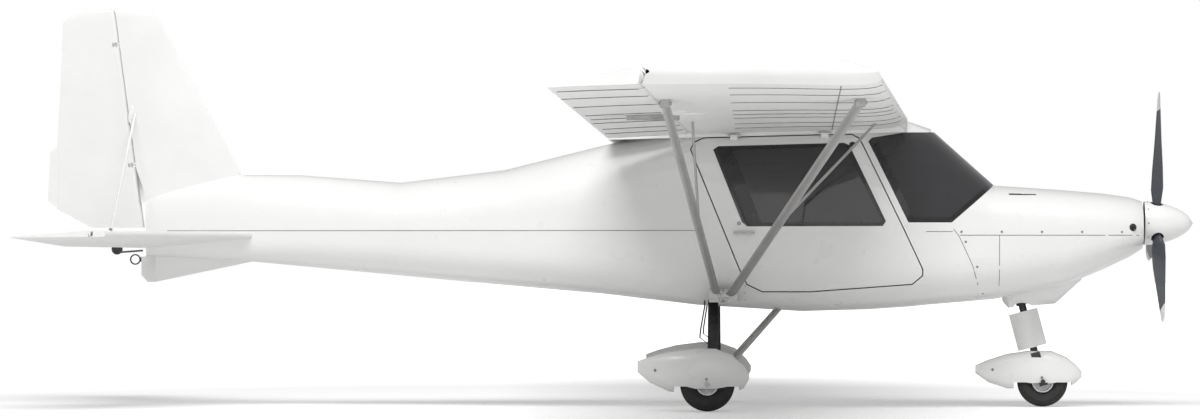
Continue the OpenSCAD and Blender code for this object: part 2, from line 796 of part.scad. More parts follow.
eye_wall = 7;
eye_x = ventral_rear_x - eye_r - eye_wall - 5;
eye_z = 790;
module tie_down_eye() {
    color(dark) difference() {
        union() {
            translate([eye_x, eye_w / 2, eye_z]) rotate([90, 0, 0]) cylinder(h = eye_w, r = eye_r + eye_wall);
            translate([eye_x, -eye_w / 2, eye_z - 12]) cube([ventral_rear_x - seat_gap - eye_x, eye_w, 24]);
        }
        translate([eye_x, eye_w, eye_z]) rotate([90, 0, 0]) cylinder(h = 2 * eye_w, r = eye_r);
    }
}

// ---------- tailplane and elevators ----------

tail_root_y = 40;
tail_r_root = 20;
tail_r_tip = 16;
// Columns: y, hinge x, hinge z, leading x, leading z, trailing x, trailing z, half thickness
tail_ends = [
    [tail_root_y, -2585, 872, -1900, 922, -2915, 852, 20],
    [tail_half_span, -2690, 926, -2600, 925, -3100, 908, 16]];
// Inboard edge of an elevator, cut away for the rudder's swing
notch_y = 64;
notch_slope = 0.52;

function stab_ring(e) = let (h = [e[1], e[2]], g = e[7] + tail_gap, lip = sqrt(g * g - e[7] * e[7])) concat(
    [for (i = [0:6]) let (a = 90 + 180 * i / 6) [e[3] - e[7] - e[7] * cos(a), e[0], e[4] + e[7] * sin(a)]],
    [for (i = [0:6]) let (a = mix(-acos(lip / g), acos(lip / g), i / 6)) [h[0] + g * cos(a), e[0], h[1] + g * sin(a)]]);

function elevator_ring(e) = concat(
    [[e[5], e[0], e[6] + edge_t], [e[5], e[0], e[6] - edge_t]],
    [for (i = [0:arc_n]) let (a = -90 + 180 * i / arc_n) [e[1] + e[7] * cos(a), e[0], e[2] + e[7] * sin(a)]]);

elevator_lugs_y = [300, 1100];
module tailplane() {
    color(white) union() {
        difference() {
            for (side = [LEFT, RIGHT]) on_side(side) skin([for (e = tail_ends) stab_ring(e)]);
            body_solid(-2540, -1500);
        }
        for (side = [LEFT, RIGHT]) on_side(side) for (y = elevator_lugs_y) at_tail_hinge(y) lug();
    }
}

module elevator(side) {
    color(white) on_side(side) difference() {
        skin([elevator_ring(tail_ends[0]), elevator_ring(tail_ends[1])]);
        translate([0, 0, 700]) linear_extrude(400) polygon([[-2500, 0], [-2500, notch_y], [-2590, notch_y],
            [-3190, notch_y + 600 * notch_slope], [-3190, 0]]);
        for (y = elevator_lugs_y) at_tail_hinge(y) lug_slot();
    }
}

// Stays from the fin to the tailplane
tail_strut_x = -2600;
module tail_struts() {
    t = 0.84;
    low = mix(tail_ends[0], tail_ends[1], t);
    color(white) for (side = [LEFT, RIGHT]) on_side(side) difference() {
        rod([tail_strut_x, 0, 1590], [tail_strut_x, low[0], low[2]], 7);
        fin_skin();
        skin([for (e = tail_ends) stab_ring(e)]);
    }
}

// ---------- undercarriage ----------

half_track = track / 2;
leg_top = [530, 440, 590];
leg_foot = [530, half_track - 96, 160];

module main_leg(side) {
    color(dark) difference() {
        on_side(side) leg_bar();
        body_solid(300, 800);
    }
}

module leg_bar() {
    difference() {
        union() {
            along(leg_top, leg_foot) translate([-9, -27, 0]) cube([18, 54, norm(leg_foot - leg_top)]);
            translate([leg_foot[0] - 30, leg_foot[1] - 10, main_tyre_r - 24]) cube([60, 12, 60]);
        }
        translate([main_axle_x, 0, main_tyre_r]) rotate([-90, 0, 0]) cylinder(h = 2000, r = axle_r);
    }
}

module main_axles() {
    color(grey) for (side = [LEFT, RIGHT]) on_side(side)
        translate([main_axle_x, leg_foot[1] - 12, main_tyre_r]) rotate([-90, 0, 0]) {
            cylinder(h = half_track + 84 - leg_foot[1] + 12, r = axle_r);
        }
}

module drag_struts() {
    color(grey) difference() {
        for (side = [LEFT, RIGHT]) on_side(side) drag_bar();
        body_solid(300, 1200);
    }
}

module drag_bar() {
    difference() {
        rod([905, 300, 560], [560, half_track - 104, 172], 15);
        leg_bar();
    }
}

// Brake pipes clipped behind the main legs. Columns: x, z; y follows the leg
brake_route = [[485, 590], [485, 541], [465, 420], [462, 380], [510, 345]];
brake_r = 4;
function leg_y(z) = mix(leg_top[1], leg_foot[1], (leg_top[2] - z) / (leg_top[2] - leg_foot[2]));
// Level ring round the pipe, drawn out along Y so that the sloping pipe is round
function brake_ring(p) = [for (i = [0:7]) [p[0] + brake_r * cos(45 * i), leg_y(p[1]) + 1.28 * brake_r * sin(45 * i), p[1]]];

module brake_lines() {
    color(dark) difference() {
        for (side = [LEFT, RIGHT]) on_side(side) difference() {
            skin([for (p = brake_route) brake_ring(p)]);
            leg_bar();
        }
        body_solid(300, 800);
    }
}

// Wheel fairings. Columns: x from the axle, half width, bottom z, top z
pant_wall = 8;
pant_slot_z = 131;
main_pant_rows = [[-365, 10, 205, 262], [-300, 34, 150, 285], [-200, 62, 104, 312], [-60, 82, 88, 330],
    [40, 82, 88, 328], [130, 68, 92, 296], [190, 42, 122, 240], [218, 10, 170, 200]];
nose_pant_rows = [[-360, 10, 180, 222], [-290, 36, 130, 252], [-190, 60, 98, 284], [-60, 78, 94, 302],
    [50, 78, 94, 300], [130, 62, 98, 266], [180, 38, 128, 226], [211, 10, 160, 190]];

function pant_ring(r, inset) = [for (i = [0:19]) let (a = 360 * i / 20, e = 0.8,
    mid = (r[2] + r[3]) / 2, c = cos(a), v = sin(a))
    [r[0], sign(c) * max(r[1] - inset, 2) * pow(abs(c), e), mid + sign(v) * max((r[3] - r[2]) / 2 - inset, 2) * pow(abs(v), e)]];

module pant_shell(rows, slot_x, slot_w) {
    difference() {
        skin([for (r = rows) pant_ring(r, 0)]);
        skin([for (i = [1:len(rows) - 2]) pant_ring(rows[i], pant_wall)]);
        translate([slot_x[0], -slot_w / 2, 0]) cube([slot_x[1] - slot_x[0], slot_w, pant_slot_z]);
    }
}

module main_pant(side) {
    color(white) on_side(side) difference() {
        translate([main_axle_x, half_track, 0]) pant_shell(main_pant_rows, [-175, 165], 124);
        translate([main_axle_x, 0, main_tyre_r]) rotate([-90, 0, 0]) cylinder(h = 2000, r = axle_r);
        translate([leg_foot[0] - 33, leg_foot[1] - 40, main_tyre_r - 30]) cube([66, 46, 400]);
        leg_bar();
        drag_bar();
    }
}

rim_r = 58;
hub_r = 26;
module rim(w) {
    rotate([90, 0, 0]) difference() {
        union() {
            translate([0, 0, -w / 2]) cylinder(h = w, r = hub_r);
            translate([0, 0, -6]) cylinder(h = 12, r = rim_r);
            difference() {
                translate([0, 0, -w / 2 + 4]) cylinder(h = w - 8, r = rim_r);
                translate([0, 0, -w / 2]) cylinder(h = w, r = rim_r - 8);
            }
        }
        translate([0, 0, -w]) cylinder(h = 2 * w, r = axle_r + run_clear);
    }
}

module tyre(r, w) {
    depth = r - rim_r;
    rotate([90, 0, 0]) rotate_extrude($fn = 64) intersection() {
        translate([rim_r, -w / 2]) square([depth, w]);
        union() {
            translate([r - w * 0.5, 0]) circle(r = w / 2, $fn = 40);
            translate([rim_r, -w * 0.42]) square([depth * 0.4, w * 0.84]);
        }
    }
}

module main_wheel_place(side) {
    on_side(side) translate([main_axle_x, half_track, main_tyre_r]) children();
}

module main_rim(side) {
    color(grey) main_wheel_place(side) rim(tyre_w);
}

module main_tyre(side) {
    color(dark) main_wheel_place(side) tyre(main_tyre_r, tyre_w);
}

// Nose leg frame: origin at the axle, local Z up the steering axis
module in_leg_frame() {
    translate([nose_axle_x, 0, nose_tyre_r]) rotate([0, -nose_rake, 0]) children();
}

leg_r = 20;
fork_in = tyre_w / 2 + 7;      // inside face of a fork blade
fork_t = 8;
crown_z = nose_tyre_r + 12;
socket_low = 425;
socket_high = 640;

module nose_fork() {
    color(dark) in_leg_frame() union() {
        for (s = [-1, 1]) translate([-22, s > 0 ? fork_in : -fork_in - fork_t, -22])
            cube([44, fork_t, crown_z + 22 + 14]);
        translate([-22, -fork_in - fork_t, crown_z]) cube([44, 2 * (fork_in + fork_t), 14]);
        translate([0, 0, crown_z + 10]) cylinder(h = socket_high - crown_z - 40, r = leg_r);
        translate([0, -78, 0]) rotate([-90, 0, 0]) cylinder(h = 156, r = axle_r);
        for (s = [-1, 1]) rotate([-90 * s, 0, 0]) translate([0, 0, 77]) cylinder(h = tow_pin_l + 1, r = tow_pin_r);
    }
}

module nose_leg_fairing() {
    color(white) in_leg_frame() difference() {
        translate([-4, 0, 190]) linear_extrude(200) rotate([0, 0, 90]) lens(158, 58);
        translate([0, 0, 180]) cylinder(h = 230, r = leg_r);
    }
}

module nose_pant() {
    color(white) difference() {
        translate([nose_axle_x, 0, 0]) pant_shell(nose_pant_rows, [-155, 155], 126);
        in_leg_frame() {
            cylinder(h = 250, r = leg_r + 4);
            translate([0, -200, 0]) rotate([-90, 0, 0]) cylinder(h = 400, r = axle_r);
            translate([-25, -fork_in - fork_t - 3, -25]) cube([50, 2 * (fork_in + fork_t + 3), crown_z + 40]);
        }
    }
}

module nose_rim() {
    color(grey) in_leg_frame() rim(tyre_w);
}

module nose_tyre() {
    color(dark) in_leg_frame() tyre(nose_tyre_r, tyre_w);
}

// Bearing tube for the nose leg, bracketed to the firewall
module nose_leg_socket() {
    color(dark) difference() {
        union() {
            in_leg_frame() translate([0, 0, socket_low]) cylinder(h = socket_high - socket_low, r = leg_r + 10);
            for (y = [-20, 12]) side_plate([[firewall_x1 + seat_gap, 640], [2140, 640],
                [2110, 740], [firewall_x1 + seat_gap, 740]], y, y + 8);
        }
        in_leg_frame() translate([0, 0, 300]) cylinder(h = 500, r = leg_r + run_clear);
    }
}

// ---------- propeller ----------

hub_x = 2905;
spinner_x0 = 2838;
spinner_x1 = 3100;
blade_count = 3;
blade_root_r = 24;
hub_body_r = 62;
// Columns: distance from the axis, chord, thickness, pitch
blade_rows = [[60, 48, 44, 62], [110, 50, 34, 60], [190, 92, 20, 50], [300, 104, 14, 38], [450, 98, 10, 27],
    [600, 82, 8, 20], [700, 58, 6, 17], [prop_r, 30, 5, 16]];
function blade_ring(b) = [for (i = [0:15]) let (a = 360 * i / 16, u = cos(a) * b[1] / 2, v = sin(a) * b[2] / 2)
    [u * sin(b[3]) + v * cos(b[3]), u * cos(b[3]) - v * sin(b[3]), b[0]]];

module at_blades() {
    for (k = [0:blade_count - 1]) translate([hub_x, 0, prop_z]) rotate([prop_turn + 360 / blade_count * k, 0, 0]) children();
}

module propeller_blades() {
    color(dark) at_blades() intersection() {
        skin([for (b = blade_rows) blade_ring(b)]);
        translate([-200, -200, hub_body_r + 0.2]) cube([400, 400, prop_r]);
    }
}

module propeller_hub() {
    color(grey) difference() {
        union() {
            translate([spinner_x0, 0, prop_z]) rotate([0, 90, 0]) cylinder(h = 8, r = spinner_r - spinner_t - seat_gap);
            translate([spinner_x0, 0, prop_z]) rotate([0, 90, 0]) cylinder(h = 110, r = 50);
            at_blades() cylinder(h = hub_body_r, r = blade_root_r + 8);
        }
        translate([spinner_x0 - 10, 0, prop_z]) rotate([0, 90, 0]) cylinder(h = 60, r = shaft_r + run_clear);
    }
}

spinner_t = 4;
module spinner() {
    length = spinner_x1 - spinner_x0;
    outer = [for (i = [0:12]) let (u = i / 12) [spinner_r * pow(1 - pow(u, 1.9), 0.62), length * u]];
    inner = [for (i = [0:12]) let (u = i / 12) [(spinner_r - spinner_t) * pow(1 - pow(u, 1.9), 0.62), (length - 12) * u]];
    color(white) difference() {
        translate([spinner_x0, 0, prop_z]) rotate([0, 90, 0]) rotate_extrude($fn = 72) polygon(concat([[0, 0]], outer));
        translate([spinner_x0 - 1, 0, prop_z]) rotate([0, 90, 0]) rotate_extrude($fn = 72) polygon(concat([[0, 0]], inner));
        at_blades() cylinder(h = 200, r = blade_root_r + 10);
    }
}

// ---------- the assembly ----------

rear_fuselage_lower();
rear_fuselage_upper();
cabin_shell();
cabin_roof();
firewall();
upper_cowl();
lower_cowl();
chin_fairing();
engine_block();
windscreen();
instrument_panel();
seat(LEFT);  // seat_left
seat(RIGHT);  // seat_right
control_stick();
rudder_pedals();
wing(LEFT);  // wing_left
wing(RIGHT);  // wing_right
wing_struts(LEFT);  // wing_struts_left
wing_struts(RIGHT);  // wing_struts_right
jury_struts();
wing_fittings();
fin();
tailplane();
tail_struts();
ventral_fin();
tie_down_eye();
main_leg(LEFT);  // main_leg_left
main_leg(RIGHT);  // main_leg_right
drag_struts();
main_axles();
main_pant(LEFT);  // main_pant_left
main_pant(RIGHT);  // main_pant_right
nose_leg_socket();
rudder();
rudder_trim_tab();
elevator(LEFT);  // elevator_left
elevator(RIGHT);  // elevator_right
aileron(LEFT);  // aileron_left
aileron(RIGHT);  // aileron_right
wing_flap(LEFT);  // flap_left
wing_flap(RIGHT);  // flap_right
door(LEFT);  // door_left
door(RIGHT);  // door_right
door_window(LEFT);  // door_window_left
door_window(RIGHT);  // door_window_right
door_handle(LEFT);  // door_handle_left
door_handle(RIGHT);  // door_handle_right
nose_fork();
nose_leg_fairing();
nose_pant();
nose_rim();
nose_tyre();
main_rim(LEFT);  // main_rim_left
main_rim(RIGHT);  // main_rim_right
main_tyre(LEFT);  // main_tyre_left
main_tyre(RIGHT);  // main_tyre_right
propeller_hub();
propeller_blades();
spinner();
brake_lines();
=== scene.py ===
"""Looks of a high-wing two-seat microlight aircraft, built around its fixed frame. Metres, +X forward, +Z up."""

import json
import math

import bmesh
import bpy
from mathutils import Matrix, Vector
from mathutils.bvhtree import BVHTree

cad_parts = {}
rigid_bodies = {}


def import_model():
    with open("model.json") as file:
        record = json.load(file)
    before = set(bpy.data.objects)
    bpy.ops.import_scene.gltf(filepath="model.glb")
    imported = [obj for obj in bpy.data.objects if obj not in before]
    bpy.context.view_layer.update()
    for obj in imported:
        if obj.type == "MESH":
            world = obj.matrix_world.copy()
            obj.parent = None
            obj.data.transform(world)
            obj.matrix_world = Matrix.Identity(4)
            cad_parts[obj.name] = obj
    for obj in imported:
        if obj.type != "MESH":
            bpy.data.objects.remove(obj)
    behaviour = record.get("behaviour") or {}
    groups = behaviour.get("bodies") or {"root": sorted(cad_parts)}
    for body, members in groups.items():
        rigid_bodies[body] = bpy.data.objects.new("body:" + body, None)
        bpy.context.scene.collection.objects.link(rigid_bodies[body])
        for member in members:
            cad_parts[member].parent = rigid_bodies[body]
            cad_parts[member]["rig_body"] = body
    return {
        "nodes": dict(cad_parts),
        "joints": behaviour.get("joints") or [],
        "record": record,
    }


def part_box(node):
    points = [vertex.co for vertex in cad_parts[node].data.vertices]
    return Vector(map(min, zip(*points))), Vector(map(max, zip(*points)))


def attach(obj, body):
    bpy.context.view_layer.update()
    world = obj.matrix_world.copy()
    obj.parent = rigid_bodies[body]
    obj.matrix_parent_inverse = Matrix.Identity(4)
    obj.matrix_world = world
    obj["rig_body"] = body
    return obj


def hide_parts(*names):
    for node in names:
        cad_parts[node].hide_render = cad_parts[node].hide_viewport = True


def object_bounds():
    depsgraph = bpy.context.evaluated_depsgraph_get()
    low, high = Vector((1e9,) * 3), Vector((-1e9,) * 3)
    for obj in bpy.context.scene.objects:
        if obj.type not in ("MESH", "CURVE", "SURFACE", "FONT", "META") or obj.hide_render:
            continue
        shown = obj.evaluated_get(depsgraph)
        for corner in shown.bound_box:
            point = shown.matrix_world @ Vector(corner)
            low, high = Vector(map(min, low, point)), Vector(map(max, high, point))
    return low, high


bl_info = {
    "name": "Microlight Aircraft",
    "version": (1, 0, 0),
    "blender": (4, 5, 0),
    "location": "View3D > Sidebar > Microlight",
    "description": "Finishes, seams, fasteners, wheels, cabin fittings and stage of a microlight aircraft",
    "category": "Object",
}

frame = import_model()
cad_box = [list(corner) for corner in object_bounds()]
JOINTS = {joint["name"]: joint for joint in frame["joints"]}
LEFT, RIGHT = 1, -1
SIDES = {"left": LEFT, "right": RIGHT}
X, Y, Z = Vector((1, 0, 0)), Vector((0, 1, 0)), Vector((0, 0, 1))


def joint_place(name):
    return Vector(JOINTS[name]["pos_m"])


def node_body(node):
    return frame["nodes"][node]["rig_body"]


# ---------- sizes and colours ----------


class MICROLIGHT_PG_paint(bpy.types.PropertyGroup):
    """Colours of the finishes"""

    gelcoat: bpy.props.FloatVectorProperty(
        name="Gelcoat", description="Mouldings of the fuselage, cowling and fairings", subtype="COLOR",
        size=3, min=0, max=1, default=(0.80, 0.80, 0.79))
    fabric: bpy.props.FloatVectorProperty(
        name="Fabric", description="Doped covering of the wings and tail", subtype="COLOR",
        size=3, min=0, max=1, default=(0.78, 0.78, 0.77))
    strut: bpy.props.FloatVectorProperty(
        name="Struts", description="Painted wing struts", subtype="COLOR",
        size=3, min=0, max=1, default=(0.42, 0.42, 0.41))
    seam: bpy.props.FloatVectorProperty(
        name="Seams", description="Shadow in the panel joints", subtype="COLOR",
        size=3, min=0, max=1, default=(0.17, 0.17, 0.17))


class MICROLIGHT_PG_detail(bpy.types.PropertyGroup):
    """Sizes of the small pieces"""

    seam_width: bpy.props.FloatProperty(
        name="Seam width", description="Width of a panel joint", unit="LENGTH", min=0.001, max=0.01, default=0.0032)
    tape_width: bpy.props.FloatProperty(
        name="Tape width", description="Width of the tape over a wing rib", unit="LENGTH",
        min=0.01, max=0.06, default=0.026)
    # The line along each rib is painted shade, drawn in the seam_shadow look; this is its width.
    shade_line_width: bpy.props.FloatProperty(
        name="Stitch width", description="Width of the stitched line over a rib", unit="LENGTH",
        min=0.002, max=0.02, default=0.005)
    rib_height: bpy.props.FloatProperty(
        name="Rib height", description="How far a rib stands out under the wing", unit="LENGTH",
        min=0.0005, max=0.006, default=0.0035)
    screw_radius: bpy.props.FloatProperty(
        name="Screw radius", description="Radius of a cowling screw's head", unit="LENGTH",
        min=0.003, max=0.01, default=0.0065)
    border_rear: bpy.props.FloatProperty(
        name="Rear border", description="Black border at a door window's rear edge", unit="LENGTH",
        min=0.02, max=0.2, default=0.105)
    border: bpy.props.FloatProperty(
        name="Border", description="Black border round the rest of a window", unit="LENGTH",
        min=0.005, max=0.05, default=0.02)
    tip_length: bpy.props.FloatProperty(
        name="Tip length", description="White end of each propeller blade", unit="LENGTH",
        min=0.02, max=0.2, default=0.075)


class MICROLIGHT_PG_stage(bpy.types.PropertyGroup):
    """Camera and lamps"""

    lens: bpy.props.FloatProperty(
        name="Lens", description="Focal length", unit="CAMERA", min=50, max=300, default=154.1)
    distance: bpy.props.FloatProperty(
        name="Distance", description="From the camera to the aircraft", unit="LENGTH",
        min=10, max=60, default=27.7)
    azimuth: bpy.props.FloatProperty(
        name="Azimuth", description="Turn of the camera ahead of broadside", unit="ROTATION",
        default=math.radians(2.0))
    key_power: bpy.props.FloatProperty(
        name="Key power", description="Power of the overhead lamp in watts", min=0, max=12000, default=5200)
    fill_power: bpy.props.FloatProperty(
        name="Fill power", description="Power of the side lamp in watts", min=0, max=6000, default=110)


def paint():
    return bpy.context.scene.microlight_paint


def detail():
    return bpy.context.scene.microlight_detail


# ---------- materials ----------


class Finish:
    """A node material under construction: a shader with noise, patterns and bump on Object coordinates."""

    def __init__(self, name, roughness=0.4, metallic=0.0, **sockets):
        self.material = bpy.data.materials.new(name)
        self.material.use_nodes = True
        self.tree = self.material.node_tree
        self.shader = self.tree.nodes["Principled BSDF"]
        self.shader.inputs["Roughness"].default_value = roughness
        self.shader.inputs["Metallic"].default_value = metallic
        for socket, value in sockets.items():
            self.shader.inputs[socket.replace("_", " ")].default_value = value
        self.coordinates = self.tree.nodes.new("ShaderNodeTexCoord").outputs["Object"]
        self.height = None

    def node(self, kind, **inputs):
        node = self.tree.nodes.new(kind)
        for socket, value in inputs.items():
            target = node.inputs[socket.replace("_", " ")]
            if isinstance(value, bpy.types.NodeSocket):
                self.tree.links.new(value, target)
            else:
                target.default_value = value
        return node

    def stretched(self, scale):
        mapping = self.node("ShaderNodeMapping", Vector=self.coordinates)
        mapping.inputs["Scale"].default_value = scale
        return mapping.outputs["Vector"]

    def noise(self, scale, detail=4.0, roughness=0.55, stretch=None):
        place = self.stretched(stretch) if stretch else self.coordinates
        return self.node("ShaderNodeTexNoise", Vector=place, Scale=scale, Detail=detail,
                         Roughness=roughness).outputs["Fac"]

    def ramp(self, factor, stops):
        """A colour ramp through (position, colour) stops."""
        node = self.node("ShaderNodeValToRGB", Fac=factor)
        while len(node.color_ramp.elements) < len(stops):
            node.color_ramp.elements.new(0.5)
        for element, (position, colour) in zip(node.color_ramp.elements, stops):
            element.position = position
            element.color = (*colour, 1.0)
        return node.outputs["Color"]

    def between(self, value, low, high, from_low=0.0, from_high=1.0):
        node = self.node("ShaderNodeMapRange", Value=value)
        node.inputs["From Min"].default_value = from_low
        node.inputs["From Max"].default_value = from_high
        node.inputs["To Min"].default_value = low
        node.inputs["To Max"].default_value = high
        return node.outputs["Result"]

    def colour(self, output):
        self.tree.links.new(output, self.shader.inputs["Base Color"])
        return self

    def rough(self, output):
        self.tree.links.new(output, self.shader.inputs["Roughness"])
        return self

    def bump(self, output, strength, distance):
        node = self.node("ShaderNodeBump", Height=output, Strength=strength, Distance=distance)
        if self.height:
            self.tree.links.new(self.height, node.inputs["Normal"])
        self.height = node.outputs["Normal"]
        self.tree.links.new(self.height, self.shader.inputs["Normal"])
        return self


def shade(colour, factor):
    return tuple(min(1.0, channel * factor) for channel in colour)


def gelcoat(name="gelcoat"):
    """Polished white gelcoat with faint mottling and road film."""
    base = tuple(paint().gelcoat)
    finish = Finish(name, roughness=0.28, Coat_Weight=0.35, Coat_Roughness=0.12)
    film = finish.noise(1.6, 6.0, 0.6, stretch=(0.6, 1.0, 1.6))
    finish.colour(finish.ramp(film, [(0.3, shade(base, 0.955)), (0.62, base), (0.8, shade(base, 1.015))]))
    finish.rough(finish.between(finish.noise(9.0, 5.0), 0.22, 0.38))
    return finish.bump(finish.noise(16.0, 1.0), 0.02, 0.002).material


def doped_fabric(name="doped_fabric"):
    """Painted cloth: a fine weave under dope, slightly uneven in gloss."""
    base = tuple(paint().fabric)
    finish = Finish(name, roughness=0.45, Sheen_Weight=0.08)
    film = finish.noise(2.2, 5.0, 0.6, stretch=(1.0, 0.7, 1.0))
    finish.colour(finish.ramp(film, [(0.28, shade(base, 0.94)), (0.6, base), (0.82, shade(base, 1.02))]))
    finish.rough(finish.between(finish.noise(14.0, 4.0), 0.38, 0.55))
    weave = finish.node("ShaderNodeTexWave", Vector=finish.coordinates, Scale=260.0, Distortion=0.6)
    return finish.bump(weave.outputs["Fac"], 0.05, 0.0004).material


def strut_paint():
    base = tuple(paint().strut)
    finish = Finish("strut_paint", roughness=0.36, metallic=0.55)
    streaks = finish.noise(6.0, 5.0, 0.6, stretch=(1.0, 0.25, 1.0))
    finish.colour(finish.ramp(streaks, [(0.25, shade(base, 0.85)), (0.6, base), (0.85, shade(base, 1.15))]))
    return finish.rough(finish.between(finish.noise(30.0), 0.28, 0.48)).material


def brushed_metal():
    finish = Finish("bare_metal", roughness=0.3, metallic=1.0)
    grain = finish.noise(60.0, 6.0, 0.7, stretch=(0.3, 1.0, 1.0))
    finish.colour(finish.ramp(grain, [(0.3, (0.24, 0.24, 0.24)), (0.7, (0.44, 0.44, 0.43))]))
    finish.rough(finish.between(grain, 0.22, 0.42))
    return finish.bump(grain, 0.08, 0.0003).material


def black_paint():
    finish = Finish("black_enamel", roughness=0.35, Coat_Weight=0.2)
    wear = finish.noise(18.0, 6.0, 0.65)
    finish.colour(finish.ramp(wear, [(0.35, (0.012, 0.012, 0.013)), (0.7, (0.03, 0.03, 0.032)),
                                     (0.86, (0.07, 0.07, 0.07))]))
    return finish.rough(finish.between(wear, 0.28, 0.5)).material


def tyre_rubber():
    finish = Finish("tyre_rubber", roughness=0.8)
    dust = finish.noise(22.0, 7.0, 0.7)
    finish.colour(finish.ramp(dust, [(0.3, (0.014, 0.014, 0.014)), (0.6, (0.028, 0.027, 0.026)),
                                     (0.85, (0.07, 0.066, 0.06))]))
    finish.rough(finish.between(dust, 0.65, 0.92))
    return finish.bump(finish.noise(220.0, 3.0), 0.25, 0.0008).material


def wheel_alloy():
    finish = Finish("wheel_alloy", roughness=0.34, metallic=0.9)
    cast = finish.noise(45.0, 5.0)
    finish.colour(finish.ramp(cast, [(0.3, (0.42, 0.42, 0.43)), (0.75, (0.60, 0.60, 0.61))]))
    finish.rough(finish.between(cast, 0.28, 0.5))
    return finish.bump(cast, 0.1, 0.0006).material


def cabin_plastic():
    finish = Finish("cabin_plastic", roughness=0.6)
    grain = finish.noise(320.0, 3.0, 0.6)
    finish.colour(finish.ramp(finish.noise(6.0), [(0.3, (0.022, 0.022, 0.024)), (0.8, (0.042, 0.042, 0.045))]))
    finish.rough(finish.between(grain, 0.5, 0.75))
    return finish.bump(grain, 0.3, 0.0008).material


def seat_cloth():
    finish = Finish("seat_cloth", roughness=0.85, Sheen_Weight=0.25, Sheen_Roughness=0.5)
    threads = finish.node("ShaderNodeTexWave", Vector=finish.stretched((1, 1, 1)), Scale=170.0, Distortion=2.0)
    finish.colour(finish.ramp(threads.outputs["Fac"], [(0.2, (0.028, 0.028, 0.032)), (0.8, (0.075, 0.075, 0.082))]))
    return finish.bump(threads.outputs["Fac"], 0.35, 0.0012).material


def engine_alloy():
    finish = Finish("engine_alloy", roughness=0.5, metallic=0.7)
    soot = finish.noise(12.0, 6.0, 0.7)
    finish.colour(finish.ramp(soot, [(0.3, (0.05, 0.05, 0.05)), (0.75, (0.20, 0.20, 0.20))]))
    return finish.rough(finish.between(soot, 0.4, 0.65)).material


def blade_composite():
    """Dark composite blades with white ends: the finish turns white past a radius from the propeller's axis."""
    hub = joint_place("propeller_spin")
    low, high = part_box("propeller_blades")
    reach = max(high.z - hub.z, hub.z - low.z, high.y)
    finish = Finish("blade_composite", roughness=0.35, Coat_Weight=0.3)
    mapping = finish.node("ShaderNodeMapping", Vector=finish.coordinates)
    mapping.inputs["Location"].default_value = -hub
    flat = finish.node("ShaderNodeVectorMath", Vector=mapping.outputs["Vector"])
    flat.operation = "MULTIPLY"
    flat.inputs[1].default_value = (0, 1, 1)
    length = finish.node("ShaderNodeVectorMath", Vector=flat.outputs["Vector"])
    length.operation = "LENGTH"
    tip = finish.between(length.outputs["Value"], 0.0, 1.0, reach - detail().tip_length - 0.001,
                         reach - detail().tip_length)
    fibres = finish.noise(40.0, 5.0, 0.6, stretch=(3.0, 1.0, 1.0))
    dark = finish.ramp(fibres, [(0.3, (0.026, 0.03, 0.038)), (0.75, (0.055, 0.062, 0.075))])
    mix = finish.node("ShaderNodeMix")
    mix.data_type = "RGBA"
    finish.tree.links.new(tip, mix.inputs["Factor"])
    finish.tree.links.new(dark, mix.inputs[6])
    pale = finish.ramp(fibres, [(0.3, (0.70, 0.70, 0.69)), (0.8, (0.80, 0.80, 0.79))])
    finish.tree.links.new(pale, mix.inputs[7])
    finish.colour(mix.outputs[2])
    return finish.rough(finish.between(fibres, 0.3, 0.45)).material


def tinted_glazing():
    """Smoked acrylic: dark, glossy, and thin enough to show the cabin."""
    finish = Finish("tinted_glazing", roughness=0.05, Alpha=0.86, Specular_IOR_Level=0.6)
    haze = finish.noise(2.0, 3.0)
    finish.colour(finish.ramp(haze, [(0.3, (0.034, 0.034, 0.036)), (0.75, (0.050, 0.050, 0.053))]))
    return finish.rough(finish.between(finish.noise(5.0), 0.03, 0.09)).material


def border_paint():
    finish = Finish("window_border", roughness=0.3, Coat_Weight=0.25)
    finish.colour(finish.ramp(finish.noise(8.0), [(0.3, (0.008, 0.008, 0.009)), (0.8, (0.015, 0.015, 0.016))]))
    return finish.rough(finish.between(finish.noise(20.0), 0.22, 0.36)).material


def seam_shadow():
    base = tuple(paint().seam)
    finish = Finish("seam_shadow", roughness=0.7)
    finish.colour(finish.ramp(finish.noise(30.0), [(0.3, shade(base, 0.8)), (0.75, shade(base, 1.15))]))
    return finish.rough(finish.between(finish.noise(60.0), 0.6, 0.8)).material


def gauge_glass():
    finish = Finish("gauge_glass", roughness=0.08, Coat_Weight=0.8)
    finish.colour(finish.ramp(finish.noise(40.0), [(0.3, (0.012, 0.012, 0.013)), (0.8, (0.03, 0.03, 0.032))]))
    return finish.rough(finish.between(finish.noise(25.0), 0.05, 0.14)).material


MAKERS = {
    "white_gelcoat": gelcoat, "white_fabric": doped_fabric, "tinted_glazing": tinted_glazing,
    "grey_strut": strut_paint, "black_steel": black_paint, "tyre_rubber": tyre_rubber,
    "wheel_alloy": wheel_alloy, "cabin_trim": cabin_plastic, "seat_cloth": seat_cloth,
    "engine_metal": engine_alloy, "blade_composite": blade_composite, "bare_metal": brushed_metal,
    "window_border": border_paint, "seam_shadow": seam_shadow, "gauge_glass": gauge_glass,
}
finishes = {}


def finish_of(name):
    if name not in finishes:
        finishes[name] = MAKERS[name]()
    return finishes[name]


def node_slot(node):
    return next(part["material_slot"] for part in frame["record"]["subparts"] if part["node"] == node)


# ---------- making pieces ----------


def add_piece(mesh, name, body, slot, look=None, replaces=()):
    """A finished piece that rides on a body, in the finish of a slot unless a look is named."""
    piece = bpy.data.objects.new(name, mesh)
    bpy.context.scene.collection.objects.link(piece)
    piece.data.materials.append(finish_of(look or slot))
    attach(piece, body)
    if replaces:
        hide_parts(*replaces)
    return piece


